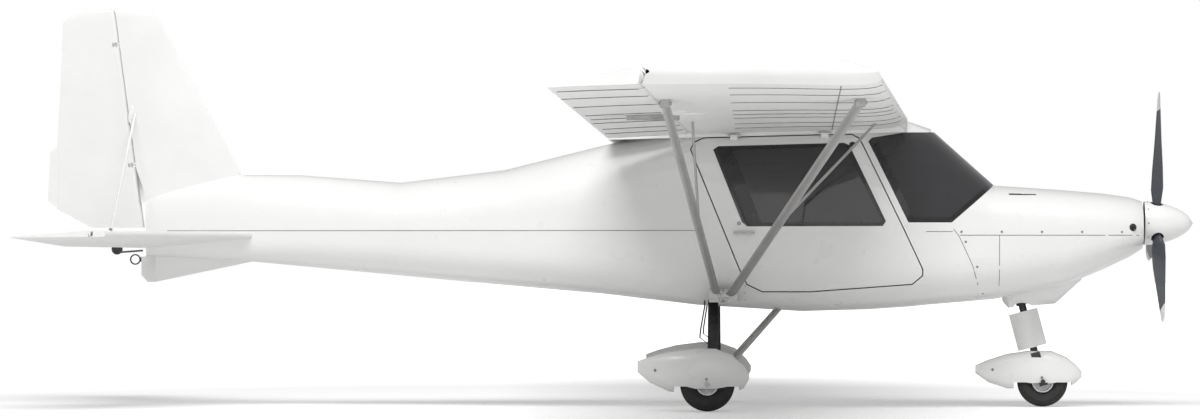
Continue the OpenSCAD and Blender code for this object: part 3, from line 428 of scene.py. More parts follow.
def close_up(bm, name, sharp=40):
    """Merges, points the faces outwards and shades smooth between sharp edges."""
    bmesh.ops.remove_doubles(bm, verts=bm.verts, dist=1e-5)
    bmesh.ops.recalc_face_normals(bm, faces=bm.faces)
    mesh = bpy.data.meshes.new(name)
    bm.to_mesh(mesh)
    bm.free()
    mesh.shade_smooth()
    mesh.set_sharp_from_angle(angle=math.radians(sharp))
    return mesh


def bm_piece(bm, name, body, slot, look=None, sharp=40, replaces=()):
    return add_piece(close_up(bm, name, sharp), name, body, slot, look, replaces)


def weighted(piece):
    """Shades long thin triangles by their area, so that a cut skin looks even."""
    modifier = piece.modifiers.new("even_shading", "WEIGHTED_NORMAL")
    modifier.keep_sharp = True
    return piece


def merged_copy(node):
    bm = bmesh.new()
    bm.from_mesh(frame["nodes"][node].data)
    bmesh.ops.remove_doubles(bm, verts=bm.verts, dist=1e-5)
    return bm


def smooth_skin(node, sharp=28, look=None):
    """A merged, smoothly shaded copy of a CAD node stands for it."""
    bm = merged_copy(node)
    mesh = bpy.data.meshes.new(f"{node}_skin")
    bm.to_mesh(mesh)
    bm.free()
    mesh.shade_smooth()
    mesh.set_sharp_from_angle(angle=math.radians(sharp))
    return weighted(add_piece(mesh, f"{node}_skin", node_body(node), node_slot(node), look, [node]))


def skin_tree(*nodes):
    """A search tree over the outside of some CAD nodes."""
    bm = bmesh.new()
    for node in nodes:
        bm.from_mesh(frame["nodes"][node].data)
    tree = BVHTree.FromBMesh(bm)
    bm.free()
    return tree


def on_side(tree, x, z, side, far=2.0):
    """Where a level line from the side meets a skin, with the skin's normal."""
    place, normal, _, _ = tree.ray_cast(Vector((x, side * far, z)), Vector((0, -side, 0)))
    return (place, normal) if place else None


def side_path(tree, points, side, step=0.04):
    """Points laid on a skin along a line of (x, z) corners."""
    found = []
    for (x0, z0), (x1, z1) in zip(points, points[1:]):
        count = max(1, round(math.hypot(x1 - x0, z1 - z0) / step))
        for i in range(count + 1):
            hit = on_side(tree, x0 + (x1 - x0) * i / count, z0 + (z1 - z0) * i / count, side)
            if hit and (not found or (hit[0] - found[-1][0]).length > 1e-4):
                found.append(hit)
    return found


def ribbon(bm, path, width, height):
    """A flat strip of this width and height, laid on the (place, normal) points of a path."""
    def corners(i):
        place, normal = path[i]
        ahead = (path[min(i + 1, len(path) - 1)][0] - path[max(i - 1, 0)][0]).normalized()
        across = normal.cross(ahead).normalized() * width / 2
        low, high = normal * -height, normal * height
        return [place - across + low, place + across + low, place + across + high, place - across + high]

    previous = corners(0)
    face = bm.faces.new([bm.verts.new(corner) for corner in previous])
    for i in range(1, len(path)):
        moved = bmesh.ops.extrude_face_region(bm, geom=[face])["geom"]
        face = next(item for item in moved if isinstance(item, bmesh.types.BMFace))
        following = corners(i)
        for vert in face.verts:
            vert.co = following[min(range(4), key=lambda k: (previous[k] - vert.co).length)]
        previous = following


def tube(bm, points, radius, sides=10):
    """A round bar through points, closed at both ends."""
    for start, end in zip(points, points[1:]):
        run = end - start
        turn = run.to_track_quat("Z", "Y").to_matrix().to_4x4()
        place = Matrix.Translation((start + end) / 2) @ turn
        bmesh.ops.create_cone(bm, cap_ends=True, segments=sides, radius1=radius, radius2=radius,
                              depth=run.length, matrix=place)
    for point in points[1:-1]:
        bmesh.ops.create_uvsphere(bm, u_segments=sides, v_segments=6, radius=radius,
                                  matrix=Matrix.Translation(point))


def facing(place, normal):
    """A frame at a place whose local Z points along a normal."""
    return Matrix.Translation(place) @ Vector(normal).to_track_quat("Z", "Y").to_matrix().to_4x4()


def turned(bm, profile, where, steps=48):
    """Spins an outline of (radius, along) round the local Z of a frame; one that starts on the axis ends on it."""
    own = bmesh.new()
    verts = [own.verts.new((radius, 0, along)) for radius, along in profile]
    closing = [] if profile[0][0] == 0 else [(verts[-1], verts[0])]
    for pair in list(zip(verts, verts[1:])) + closing:
        own.edges.new(pair)
    bmesh.ops.spin(own, geom=own.verts[:] + own.edges[:], cent=(0, 0, 0), axis=(0, 0, 1), dvec=(0, 0, 0),
                   angle=math.tau, steps=steps, use_merge=True)
    bmesh.ops.remove_doubles(own, verts=own.verts, dist=1e-6)
    bmesh.ops.transform(own, matrix=where, verts=own.verts)
    mesh = bpy.data.meshes.new("turned")
    own.to_mesh(mesh)
    own.free()
    bm.from_mesh(mesh)
    bpy.data.meshes.remove(mesh)


def screw(bm, place, normal, radius):
    """A domed screw head that stands on a skin."""
    where = facing(place, normal)
    height = radius * 0.35
    turned(bm, [(0, -height), (radius, -height), (radius, height * 0.3), (radius * 0.8, height),
                (radius * 0.35, height), (radius * 0.3, height * 0.4), (0, height * 0.4)], where, 12)


def bolt(bm, place, normal, radius, height):
    """A hexagon head with a washer under it."""
    where = facing(place, normal)
    bmesh.ops.create_cone(bm, cap_ends=True, segments=20, radius1=radius * 1.35, radius2=radius * 1.35,
                          depth=height * 0.3, matrix=where @ Matrix.Translation((0, 0, height * 0.15)))
    bmesh.ops.create_cone(bm, cap_ends=True, segments=6, radius1=radius, radius2=radius * 0.94,
                          depth=height, matrix=where @ Matrix.Translation((0, 0, height * 0.5)))


def box_piece(bm, low, high, bevel=0.0, segments=2):
    """A box between two corners, with rounded edges."""
    low, high = Vector(low), Vector(high)
    size = high - low
    place = Matrix.Translation((low + high) / 2) @ Matrix.Diagonal((*size, 1))
    made = bmesh.ops.create_cube(bm, size=1, matrix=place)["verts"]
    if bevel:
        edges = list({edge for vert in made for edge in vert.link_edges})
        bmesh.ops.bevel(bm, geom=edges, offset=bevel, affect="EDGES", segments=segments, profile=0.5, material=-1)


# ---------- skins and materials of the fixed frame ----------


class MICROLIGHT_OT_finishes(bpy.types.Operator):
    """Gives every frame part the finish of its slot"""

    bl_idname = "microlight.finishes"
    bl_label = "Finishes"

    def execute(self, context):
        for node, part in frame["nodes"].items():
            part.data.materials.clear()
            part.data.materials.append(finish_of(node_slot(node)))
        return {"FINISHED"}


SHELLS = ("rear_fuselage_lower", "rear_fuselage_upper", "cabin_shell", "cabin_roof", "upper_cowl", "lower_cowl",
          "chin_fairing", "windscreen", "door_left", "door_right", "door_window_left", "door_window_right",
          "main_pant_left", "main_pant_right", "nose_pant", "nose_leg_fairing", "fin", "ventral_fin", "spinner",
          "propeller_blades", "wing_struts_left", "wing_struts_right")
COVERED = ("wing_left", "wing_right", "aileron_left", "aileron_right", "flap_left", "flap_right", "rudder",
           "tailplane", "elevator_left", "elevator_right")


class MICROLIGHT_OT_skins(bpy.types.Operator):
    """Smooth mouldings and fabric-covered surfaces over the frame's faceted ones"""

    bl_idname = "microlight.skins"
    bl_label = "Smooth skins"

    def execute(self, context):
        for node in SHELLS + COVERED:
            smooth_skin(node)
        return {"FINISHED"}


# ---------- joints and fasteners of the mouldings ----------

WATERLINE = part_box("rear_fuselage_lower")[1].z
COWL_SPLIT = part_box("lower_cowl")[1].z
COWL_REAR = [(1.800, 0.953), (1.829, 0.916), (1.901, 0.762), (1.932, 0.656), (1.945, 0.560)]
BODY_SKIN = ("rear_fuselage_lower", "rear_fuselage_upper", "cabin_shell", "door_left", "door_right")
COWL_SKIN = ("upper_cowl", "lower_cowl", "chin_fairing")


class MICROLIGHT_OT_seams(bpy.types.Operator):
    """Panel joints: the waterline seam, the cowling's splits and the belly joint"""

    bl_idname = "microlight.seams"
    bl_label = "Panel seams"

    def execute(self, context):
        width = detail().seam_width
        body, cowl = skin_tree(*BODY_SKIN), skin_tree(*COWL_SKIN)
        runs = {
            "waterline_seam": (body, [(-2.42, WATERLINE), (0.46, WATERLINE)]),
            "cabin_waterline_seam": (body, [(1.655, WATERLINE - 0.006), (1.795, WATERLINE - 0.006)]),
            "cowl_split_seam": (cowl, [(1.835, COWL_SPLIT), (2.795, COWL_SPLIT)]),
            "cowl_side_seam": (cowl, [(2.045, COWL_SPLIT), (2.045, 0.62)]),
            "cowl_rear_seam": (skin_tree(*BODY_SKIN, *COWL_SKIN), COWL_REAR),
            "belly_seam": (body, [(0.700, 0.655), (0.700, 0.575)]),
        }
        for name, (tree, points) in runs.items():
            bm = bmesh.new()
            for side in (LEFT, RIGHT):
                ribbon(bm, side_path(tree, points, side), width, 0.0009)
            bm_piece(bm, name, "airframe", "white_gelcoat", "seam_shadow")
        return {"FINISHED"}


class MICROLIGHT_OT_screws(bpy.types.Operator):
    """Screws round the cowling and on the wheel fairings"""

    bl_idname = "microlight.screws"
    bl_label = "Screws"

    def execute(self, context):
        radius = detail().screw_radius
        cowl = skin_tree(*COWL_SKIN)
        bm = bmesh.new()
        rows = [([(1.842, COWL_SPLIT + 0.018), (2.70, COWL_SPLIT + 0.018)], 5),
                ([(1.865, 0.885), (1.926, 0.753), (1.960, 0.610)], 3)]
        for points, count in rows:
            lengths = [math.dist(a, b) for a, b in zip(points, points[1:])]
            for i in range(count):
                along = sum(lengths) * i / (count - 1)
                leg = 0
                while leg < len(lengths) - 1 and along > lengths[leg]:
                    along -= lengths[leg]
                    leg += 1
                share = along / lengths[leg]
                x = points[leg][0] + (points[leg + 1][0] - points[leg][0]) * share
                z = points[leg][1] + (points[leg + 1][1] - points[leg][1]) * share
                for side in (LEFT, RIGHT):
                    hit = on_side(cowl, x, z, side)
                    if hit:
                        screw(bm, *hit, radius)
        bm_piece(bm, "cowl_screws", "airframe", "bare_metal")

        for name, body in (("main_pant_left", "airframe"), ("main_pant_right", "airframe"),
                           ("nose_pant", "nose_gear")):
            low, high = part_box(name)
            pant = skin_tree(name)
            bm = bmesh.new()
            for side in (LEFT, RIGHT):
                middle = (low.y + high.y) / 2
                for x, z in pant_screws(low, high):
                    place, normal, _, _ = pant.ray_cast(Vector((x, middle + side, z)), Vector((0, -side, 0)))
                    if place:
                        screw(bm, place, normal, radius * 1.2)
            bm_piece(bm, f"{name}_screws", body, "bare_metal")
        return {"FINISHED"}


def pant_screws(low, high):
    """The axle's end and the fixing screws of a wheel fairing, as (x, z) places."""
    length, height = high.x - low.x, high.z - low.z
    return [(low.x + length * share, low.z + height * rise) for share, rise in ((0.62, 0.30), (0.16, 0.50))]


# ---------- wing and tail covering ----------

RIBS = (0.98, 1.38, 1.90, 2.22, 2.56, 3.23, 3.87, 4.40)


def over_surface(tree, y, x0, x1, side, step=0.03):
    """Points down the chord of a wing or tail at a span, on its upper (1) or lower (-1) side."""
    count = max(2, round(abs(x1 - x0) / step))
    found = []
    for i in range(count + 1):
        x = x0 + (x1 - x0) * i / count
        place, normal, _, _ = tree.ray_cast(Vector((x, y, 1.2 + side * 2)), Vector((0, 0, -side)))
        if place and normal.z * side > 0.3:
            found.append((place, normal))
    return found


class MICROLIGHT_OT_tapes(bpy.types.Operator):
    """Tapes over the wing ribs, and dark lines of painted shade along the wing ribs and spar and the ribs of the
    ailerons and flaps
    """

    bl_idname = "microlight.tapes"
    bl_label = "Rib tapes"

    def execute(self, context):
        width = detail().tape_width
        for hand, side in SIDES.items():
            tree = skin_tree(f"wing_{hand}")
            low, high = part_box(f"wing_{hand}")
            tapes, lines = bmesh.new(), bmesh.new()
            for rib in RIBS:
                for face in (1, -1):
                    path = over_surface(tree, rib * side, low.x + 0.42, high.x - 0.03, face)
                    if len(path) > 3:
                        ribbon(tapes, path, width, 0.0005)
                        # A dark line of painted shade along the rib, raised a little more under the wing.
                        ribbon(lines, path, detail().shade_line_width, 0.0009 if face > 0 else detail().rib_height)
            # A dark line of painted shade along the spar, on both faces.
            spar = [path for face in (1, -1) for path in [spanwise(tree, -0.40 + high.x, side, face)] if len(path) > 3]
            for path in spar:
                ribbon(lines, path, detail().shade_line_width, 0.0009)
            bm_piece(tapes, f"wing_{hand}_tapes", "airframe", "white_fabric")
            bm_piece(lines, f"wing_{hand}_rib_shade_lines", "airframe", "white_fabric", "seam_shadow")
            for surface in ("aileron", "flap"):
                name = f"{surface}_{hand}"
                own, (near, far) = skin_tree(name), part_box(name)
                bm = bmesh.new()
                # Dark lines of painted shade along the ribs that cross the aileron or flap.
                spans = [rib for rib in RIBS if near.y + 0.05 < rib * side < far.y - 0.05]
                for rib in spans:
                    for face in (1, -1):
                        path = over_surface(own, rib * side, near.x + 0.03, far.x - 0.03, face)
                        if len(path) > 3:
                            ribbon(bm, path, detail().shade_line_width, 0.0007 if face > 0 else detail().rib_height)
                bm_piece(bm, f"{name}_rib_shade_lines", name, "white_fabric", "seam_shadow")
        return {"FINISHED"}


def spanwise(tree, x, side, face):
    """Points along the span of a wing at a fixed x."""
    found = []
    for i in range(61):
        y = (0.56 + (4.66 - 0.56) * i / 60) * side
        place, normal, _, _ = tree.ray_cast(Vector((x, y, 1.5 + face * 2)), Vector((0, 0, -face)))
        if place and normal.z * face > 0.3:
            found.append((place, normal))
    return found


# ---------- windows ----------

PANE = [(0.531, 1.372), (0.557, 1.390), (1.222, 1.408), (1.250, 1.396),
        (1.442, 0.994), (1.426, 0.968), (0.710, 0.966), (0.683, 0.989)]


def pane_inside():
    """The clear part of a door window: the pane's outline drawn in by its black border."""
    wide, thin = detail().border_rear, detail().border
    pull = [(wide, 0), (wide * 0.86, -thin), (-thin * 0.6, -thin), (-thin, -thin),
            (-thin, thin * 0.3), (-thin * 0.7, thin), (wide * 0.72, thin), (wide * 0.9, thin * 0.6)]
    return [(x + dx, z + dz) for (x, z), (dx, dz) in zip(PANE, pull)]


def band_on_skin(tree, outer, inner, side, lift=0.0008, steps=6):
    """A closed band between two outlines of (x, z) corners, laid on a skin."""
    bm = bmesh.new()
    loops = []
    for outline in (outer, inner):
        verts = []
        for (x0, z0), (x1, z1) in zip(outline, outline[1:] + outline[:1]):
            verts += [bm.verts.new((x0 + (x1 - x0) * i / 20, 0, z0 + (z1 - z0) * i / 20)) for i in range(20)]
        loops.append([bm.edges.new(pair) for pair in zip(verts, verts[1:] + verts[:1])])
    bmesh.ops.bridge_loops(bm, edges=loops[0] + loops[1])
    edge_loops = set(loops[0] + loops[1])
    bmesh.ops.subdivide_edges(bm, edges=[edge for edge in bm.edges if edge not in edge_loops], cuts=steps)
    for vert in bm.verts:
        hit = on_side(tree, vert.co.x, vert.co.z, side)
        if not hit:
            place = tree.find_nearest(Vector((vert.co.x, side * 0.5, vert.co.z)))
            hit = place[0], place[1]
        vert.co = hit[0]
    raised = bmesh.ops.extrude_face_region(bm, geom=bm.faces[:], use_keep_orig=True)["geom"]
    for vert in raised:
        if isinstance(vert, bmesh.types.BMVert):
            vert.co.y += side * lift
    return bm


class MICROLIGHT_OT_borders(bpy.types.Operator):
    """Black borders round the door windows and the windscreen"""

    bl_idname = "microlight.borders"
    bl_label = "Window borders"

    def execute(self, context):
        screen = skin_tree("windscreen")
        for hand, side in SIDES.items():
            pane = skin_tree(f"door_window_{hand}")
            bm = band_on_skin(pane, PANE, pane_inside(), side)
            bm_piece(bm, f"door_window_border_{hand}", f"door_{hand}", "tinted_glazing", "window_border")
            bm = bmesh.new()
            ribbon(bm, side_path(screen, [(1.388, 1.400), (1.575, 1.000)], side, 0.02), 0.034, 0.0012)
            ribbon(bm, side_path(screen, [(1.578, 1.002), (1.780, 1.002)], side, 0.02), 0.022, 0.0012)
            ribbon(bm, side_path(screen, [(1.786, 1.004), (1.985, 1.172)], side, 0.02), 0.022, 0.0012)
            bm_piece(bm, f"windscreen_border_{hand}", "airframe", "tinted_glazing", "window_border")
        return {"FINISHED"}


# ---------- struts and fittings ----------


def end_of(node, side, outer):
    """The middle of a strut node's inboard or outboard end cap, for each strut of the pair."""
    points = [vert.co for vert in frame["nodes"][node].data.vertices]
    reach = max(point.y * side for point in points) if outer else min(point.y * side for point in points)
    near = [point for point in points if abs(point.y * side - reach) < 0.05]
    halves = ([p for p in near if p.x >= middle_x(near)], [p for p in near if p.x < middle_x(near)])
    return [sum(half, Vector()) / len(half) for half in halves if half]


def middle_x(points):
    return (min(point.x for point in points) + max(point.x for point in points)) / 2


class MICROLIGHT_OT_fittings(bpy.types.Operator):
    """Bolted ends of the wing struts, bolted plates at the struts' feet and fairings over the hinges under the wing"""

    bl_idname = "microlight.fittings"
    bl_label = "Strut fittings"

    def execute(self, context):
        for hand, side in SIDES.items():
            bm = bmesh.new()
            for outer in (False, True):
                for place in end_of(f"wing_struts_{hand}", side, outer):
                    for x in (1, -1):
                        bolt(bm, place + X * x * 0.022, X * x, 0.009, 0.009)
                        bmesh.ops.create_cone(
                            bm, cap_ends=True, segments=24, radius1=0.021, radius2=0.019, depth=0.006,
                            matrix=facing(place + X * x * 0.019, X * x))
            bm_piece(bm, f"strut_bolts_{hand}", "airframe", "bare_metal")

            foot_low, foot_high = Vector((0.510, 0, 0.566)), Vector((0.660, 0, 0.636))
            fittings = skin_tree("wing_fittings")
            bm = bmesh.new()
            middle = (foot_low + foot_high) / 2
            hit = on_side(fittings, middle.x, middle.z, side)
            if hit:
                where = facing(*hit)
                turned(bm, [(0.0, 0.003), (0.030, 0.003), (0.033, 0.001), (0.033, -0.001), (0.0, -0.001)], where, 48)
                for i in range(6):
                    turn = math.tau * i / 6
                    place = where @ Vector((0.024 * math.cos(turn), 0.024 * math.sin(turn), 0.0028))
                    bolt(bm, place, hit[1], 0.005, 0.006)
            bm_piece(bm, f"foot_bolts_{hand}", "airframe", "bare_metal")

            wing = skin_tree(f"wing_{hand}")
            bm = bmesh.new()
            for rib, x, length in ((2.40, 0.40, 0.26), (2.20, 0.36, 0.14), (0.70, 0.36, 0.12), (2.60, 0.36, 0.14),
                                   (4.50, 0.24, 0.12)):
                hit = over_surface(wing, rib * side, x, x + 0.02, -1)
                if hit:
                    blister(bm, hit[0][0] + Z * 0.004, length, 0.030 if length > 0.2 else 0.020, 0.032)
            bm_piece(bm, f"hinge_fairings_{hand}", "airframe", "white_gelcoat")
        return {"FINISHED"}


def blister(bm, place, length, width, height):
    """A streamlined bump, half sunk in the skin."""
    made = bmesh.ops.create_uvsphere(bm, u_segments=28, v_segments=14, radius=0.5)["verts"]
    for vert in made:
        vert.co.x = vert.co.x * (1.0 - 0.35 * (0.5 - vert.co.x)) if vert.co.x > 0 else vert.co.x
    bmesh.ops.transform(bm, verts=made, matrix=Matrix.Translation(place) @ Matrix.Diagonal(
        (length, width, height, 1)))


# ---------- wheels ----------

WHEELS = {"nose": "nose_wheel", "main_left": "main_wheel_left", "main_right": "main_wheel_right"}


def wheel_nodes(key):
    if key == "nose":
        return "nose_tyre", "nose_rim"
    hand = key.split("_")[1]
    return f"main_tyre_{hand}", f"main_rim_{hand}"


class MICROLIGHT_OT_wheels(bpy.types.Operator):
    """Grooved tyres, and rims with bolts"""

    bl_idname = "microlight.wheels"
    bl_label = "Wheels"

    def execute(self, context):
        for key, body in WHEELS.items():
            tyre, rim = wheel_nodes(key)
            low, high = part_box(tyre)
            middle = (low + high) / 2
            reach, half = (high.z - low.z) / 2, (high.y - low.y) / 2
            bead = (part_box(rim)[1].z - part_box(rim)[0].z) / 2
            where = facing(middle, Y)
            bm = bmesh.new()
            turned(bm, tyre_outline(reach, half, bead), where, 72)
            bm_piece(bm, f"{key}_tyre_tread", body, "tyre_rubber", replaces=[tyre])
            bm = bmesh.new()
            near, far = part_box(rim)
            for face in (1, -1):
                rim_face = middle + Y * face * ((far.y - near.y) / 2 - 0.001)
                for i in range(6):
                    turn = math.tau * i / 6
                    place = rim_face + (X * math.cos(turn) + Z * math.sin(turn)) * bead * 0.62
                    bolt(bm, place - Y * face * 0.004, Y * face, 0.005, 0.006)
            bm_piece(bm, f"{key}_rim_bolts", body, "bare_metal")
        return {"FINISHED"}


def tyre_outline(reach, half, bead):
    """A tyre's section as (radius, across) points: beads, rounded walls and a tread with four grooves."""
    groove, depth = 0.0028, 0.004
    crown = [(reach - 0.012, 0.74), (reach - 0.004, 0.50)]
    wall = [(bead + 0.001, 0.56), (bead + 0.012, 0.80), (bead + 0.030, 0.95), (bead + 0.045, 1.0),
            (reach - 0.030, 0.95)] + crown
    tread = []
    for i, across in enumerate((0.36, 0.12)):
        top = reach - 0.0015 * (1 - i)
        tread += [(top, across + groove / half), (top - depth, across + groove * 0.7 / half),
                  (top - depth, across - groove * 0.7 / half), (top, across - groove / half)]
    half_side = [(radius, share * half) for radius, share in wall + tread]
    return half_side + [(radius, -across) for radius, across in reversed(half_side)]


# ---------- propeller ----------


class MICROLIGHT_OT_propeller(bpy.types.Operator):
    """Backplate ring and screws of the spinner"""

    bl_idname = "microlight.propeller"
    bl_label = "Propeller"

    def execute(self, context):
        hub = joint_place("propeller_spin")
        low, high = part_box("spinner")
        radius = (high.z - low.z) / 2
        where = Matrix.Translation((low.x, hub.y, hub.z)) @ X.to_track_quat("Z", "Y").to_matrix().to_4x4()
        bm = bmesh.new()
        turned(bm, [(radius - 0.006, 0.0), (radius - 0.0002, 0.0), (radius - 0.0002, 0.006),
                    (radius - 0.006, 0.006)], where, 72)
        bm_piece(bm, "spinner_ring", "propeller", "bare_metal")
        spinner = skin_tree("spinner")
        bm = bmesh.new()
        for i in range(9):
            turn = math.tau * (i + 0.5) / 9
            out = Y * math.cos(turn) + Z * math.sin(turn)
            place, normal, _, _ = spinner.ray_cast(Vector((low.x + 0.018, hub.y, hub.z)) + out * 0.5, -out)
            if place:
                screw(bm, place, normal, 0.0045)
        bm_piece(bm, "spinner_screws", "propeller", "bare_metal")
        return {"FINISHED"}


# ---------- cabin ----------

SEAT_SPREAD = 0.255


def cushion(name, centre, tilt, size, channels):
    """A padded seat part: a closed case blown up as cloth, with sewn channels pressed in afterwards."""
    bm = bmesh.new()
    box_piece(bm, [-extent / 2 + 0.006 for extent in size], [extent / 2 - 0.006 for extent in size], 0.018, 4)
    bmesh.ops.subdivide_edges(bm, edges=bm.edges[:], cuts=2, use_grid_fill=True)
    case = bpy.data.meshes.new(name)
    bm.to_mesh(case)
    bm.free()
    case = blown_up(case, 0.010, 4.0, 0.009)
    groove = 0.006
    for vert in case.vertices:
        near = min(abs(vert.co.y - line * size[1]) for line in channels)
        if abs(vert.co.z) > size[2] * 0.2:
            vert.co.z -= math.copysign(groove * math.exp(-(near / 0.007) ** 2), vert.co.z)
        for axis, extent in enumerate(size):
            vert.co[axis] = max(-extent / 2, min(extent / 2, vert.co[axis]))
    bm = bmesh.new()
    bm.from_mesh(case)
    bmesh.ops.transform(bm, verts=bm.verts, matrix=Matrix.Translation(centre) @ Matrix.Rotation(tilt, 4, "Y"))
    piece = bm_piece(bm, name, "airframe", "seat_cloth", sharp=75)
    return piece


def blown_up(case, voxel, pressure, cap):
    """Remeshes a case, swells it as cloth with no weight, and lets no point move further than the cap."""
    work = bpy.data.objects.new("case", case)
    bpy.context.scene.collection.objects.link(work)
    cells = work.modifiers.new("cells", "REMESH")
    cells.mode, cells.voxel_size = "VOXEL", voxel
    start = evaluated(work)
    work.modifiers.clear()
    work.data = start
    cloth = work.modifiers.new("cloth", "CLOTH")
    cloth.settings.use_pressure = True
    cloth.settings.uniform_pressure_force = pressure
    cloth.settings.effector_weights.gravity = 0
    cloth.settings.quality = 5
    scene = bpy.context.scene
    for step in range(1, 19):
        scene.frame_set(step)
    swollen = evaluated(work)
    for rest, vert in zip(start.vertices, swollen.vertices):
        move = vert.co - rest.co
        if move.length > cap:
            vert.co = rest.co + move.normalized() * cap
    scene.frame_set(1)
    bpy.data.objects.remove(work)
    return swollen


def evaluated(piece):
    """The mesh of a piece with its modifiers applied."""
    depsgraph = bpy.context.evaluated_depsgraph_get()
    depsgraph.update()
    return bpy.data.meshes.new_from_object(piece.evaluated_get(depsgraph))


def cut_copy(node, cuts):
    """A closed copy of a frame part, cut by (place, normal) planes; what lies past each plane goes."""
    bm = merged_copy(node)
    for place, normal in cuts:
        bmesh.ops.bisect_plane(bm, geom=bm.verts[:] + bm.edges[:] + bm.faces[:], plane_co=place,
                               plane_no=normal, clear_outer=True)
        bmesh.ops.holes_fill(bm, edges=[edge for edge in bm.edges if edge.is_boundary])
    return bm


class MICROLIGHT_OT_seats(bpy.types.Operator):
    """Two moulded seat shells with padded seat and back cushions"""

    bl_idname = "microlight.seats"
    bl_label = "Seats"

    def execute(self, context):
        seat_low, seat_high = Vector((0.69, 0, 0.760)), Vector((1.000, 0, 0.800))
        back_low, back_high = Vector((0.69, 0, 0.760)), Vector((0.500, 0, 1.270))
        rear_low, rear_high = Vector((0.540, 0, 0.780)), Vector((0.410, 0, 1.260))
        base_run, back_run = (seat_high - seat_low).normalized(), (back_high - back_low).normalized()
        base_up = Vector((-base_run.z, 0, base_run.x))
        back_out = Vector((back_run.z, 0, -back_run.x))
        rear_run = (rear_high - rear_low).normalized()
        rear_out = Vector((rear_run.z, 0, -rear_run.x))
        for hand, side in SIDES.items():
            node = f"seat_{hand}"
            middle = Y * side * SEAT_SPREAD
            bm = cut_copy(node, [(seat_low - base_up * 0.085, base_up)])
            bm_piece(bm, f"seat_base_{hand}", "airframe", "cabin_trim", sharp=30)
            bm = cut_copy(node, [(seat_low - base_up * 0.06, -base_up), (rear_low + rear_out * 0.03, rear_out)])
            bm_piece(bm, f"seat_shell_{hand}", "airframe", "cabin_trim", sharp=30)
            base = cushion(f"seat_cushion_{hand}", (seat_low + seat_high) / 2 + middle - base_up * 0.043,
                           -math.atan2(base_run.z, base_run.x), (0.33, 0.425, 0.084), (-0.2, 0.2))
            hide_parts(node)
            cushion(f"back_cushion_{hand}", (back_low + back_high) / 2 + middle - back_out * 0.040 + back_run * 0.02,
                    -math.atan2(back_run.z, back_run.x), (0.44, 0.42, 0.074), (-0.2, 0.2))
        return {"FINISHED"}


class MICROLIGHT_OT_cockpit(bpy.types.Operator):
    """Instruments and knobs on the panel"""

    bl_idname = "microlight.cockpit"
    bl_label = "Instruments"

    def execute(self, context):
        low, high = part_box("instrument_panel")
        panel = skin_tree("instrument_panel")
        rings, glasses, knobs = bmesh.new(), bmesh.new(), bmesh.new()

        def on_panel(y, z):
            place, normal, _, _ = panel.ray_cast(Vector((0.9, y, z)), X)
            return (place, normal) if place and normal.x < -0.7 else None

        for y in (-0.35, -0.255, -0.16, 0.16, 0.255, 0.35):
            hit = on_panel(y, 1.110)
            if hit:
                where = facing(*hit)
                turned(rings, [(0.033, -0.002), (0.040, -0.002), (0.040, 0.004), (0.037, 0.007), (0.034, 0.007),
                               (0.033, 0.004)], where, 40)
                turned(glasses, [(0.0, 0.0), (0.0335, 0.0), (0.0335, 0.003), (0.0, 0.0035)], where, 40)
        for y in (-0.05, 0.05):
            hit = on_panel(y, 1.108)
            if hit:
                place = hit[0]
                box_piece(rings, place - Vector((0.008, 0.045, 0.036)), place + Vector((0.001, 0.045, 0.036)), 0.003)
                box_piece(glasses, place - Vector((0.0095, 0.039, 0.030)), place + Vector((0.001, 0.039, 0.030)),
                          0.001)
        for i in range(12):
            hit = on_panel(-0.33 + 0.06 * i, 1.000)
            if hit:
                turned(knobs, [(0.0, 0.018), (0.007, 0.018), (0.009, 0.014), (0.009, 0.004), (0.005, 0.002),
                               (0.005, -0.001), (0.0, -0.001)], facing(*hit), 20)
        bm_piece(rings, "gauge_bezels", "airframe", "cabin_trim", "black_steel")
        bm_piece(glasses, "gauge_faces", "airframe", "cabin_trim", "gauge_glass")
        bm_piece(knobs, "panel_knobs", "airframe", "cabin_trim", "black_steel")
        return {"FINISHED"}


# ---------- tail ----------


class MICROLIGHT_OT_tail(bpy.types.Operator):
    """Fittings of the tail stays and the elevator's control horn"""

    bl_idname = "microlight.tail"
    bl_label = "Tail fittings"

    def execute(self, context):
        fin = skin_tree("fin", "rudder")
        bm = bmesh.new()
        for side in (LEFT, RIGHT):
            place, normal, _, _ = fin.ray_cast(Vector((-2.622, side, 1.575)), Vector((0, -side, 0)))
            made = bmesh.ops.create_uvsphere(bm, u_segments=24, v_segments=12, radius=0.5)["verts"]
            bmesh.ops.transform(bm, verts=made, matrix=Matrix.Translation(place) @ Matrix.Rotation(
                math.radians(8), 4, "Y") @ Matrix.Diagonal((0.030, 0.018, 0.10, 1)))
        bm_piece(bm, "stay_fairings", "airframe", "white_gelcoat")

        bm = bmesh.new()
        low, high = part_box("tail_struts")
        for side in (LEFT, RIGHT):
            foot = Vector((-2.60, side * (high.y - 0.006), low.z + 0.012))
            bolt(bm, foot + Z * 0.002, Z, 0.008, 0.010)
        bm_piece(bm, "stay_bolts", "airframe", "bare_metal")

        bm = bmesh.new()
        horn, rod_end = Vector((-2.700, 0, 0.846)), Vector((-2.560, 0, 0.838))
        for radius, width in ((0.030, 0.008), (0.018, 0.014), (0.008, 0.026)):
            bmesh.ops.create_cone(bm, cap_ends=True, segments=32, radius1=radius, radius2=radius, depth=width,
                                  matrix=facing(horn, Y))
        tube(bm, [horn - Z * 0.018, rod_end], 0.005)
        bm_piece(bm, "elevator_horn", "airframe", "black_steel")
        return {"FINISHED"}


# ---------- small openings and vents ----------


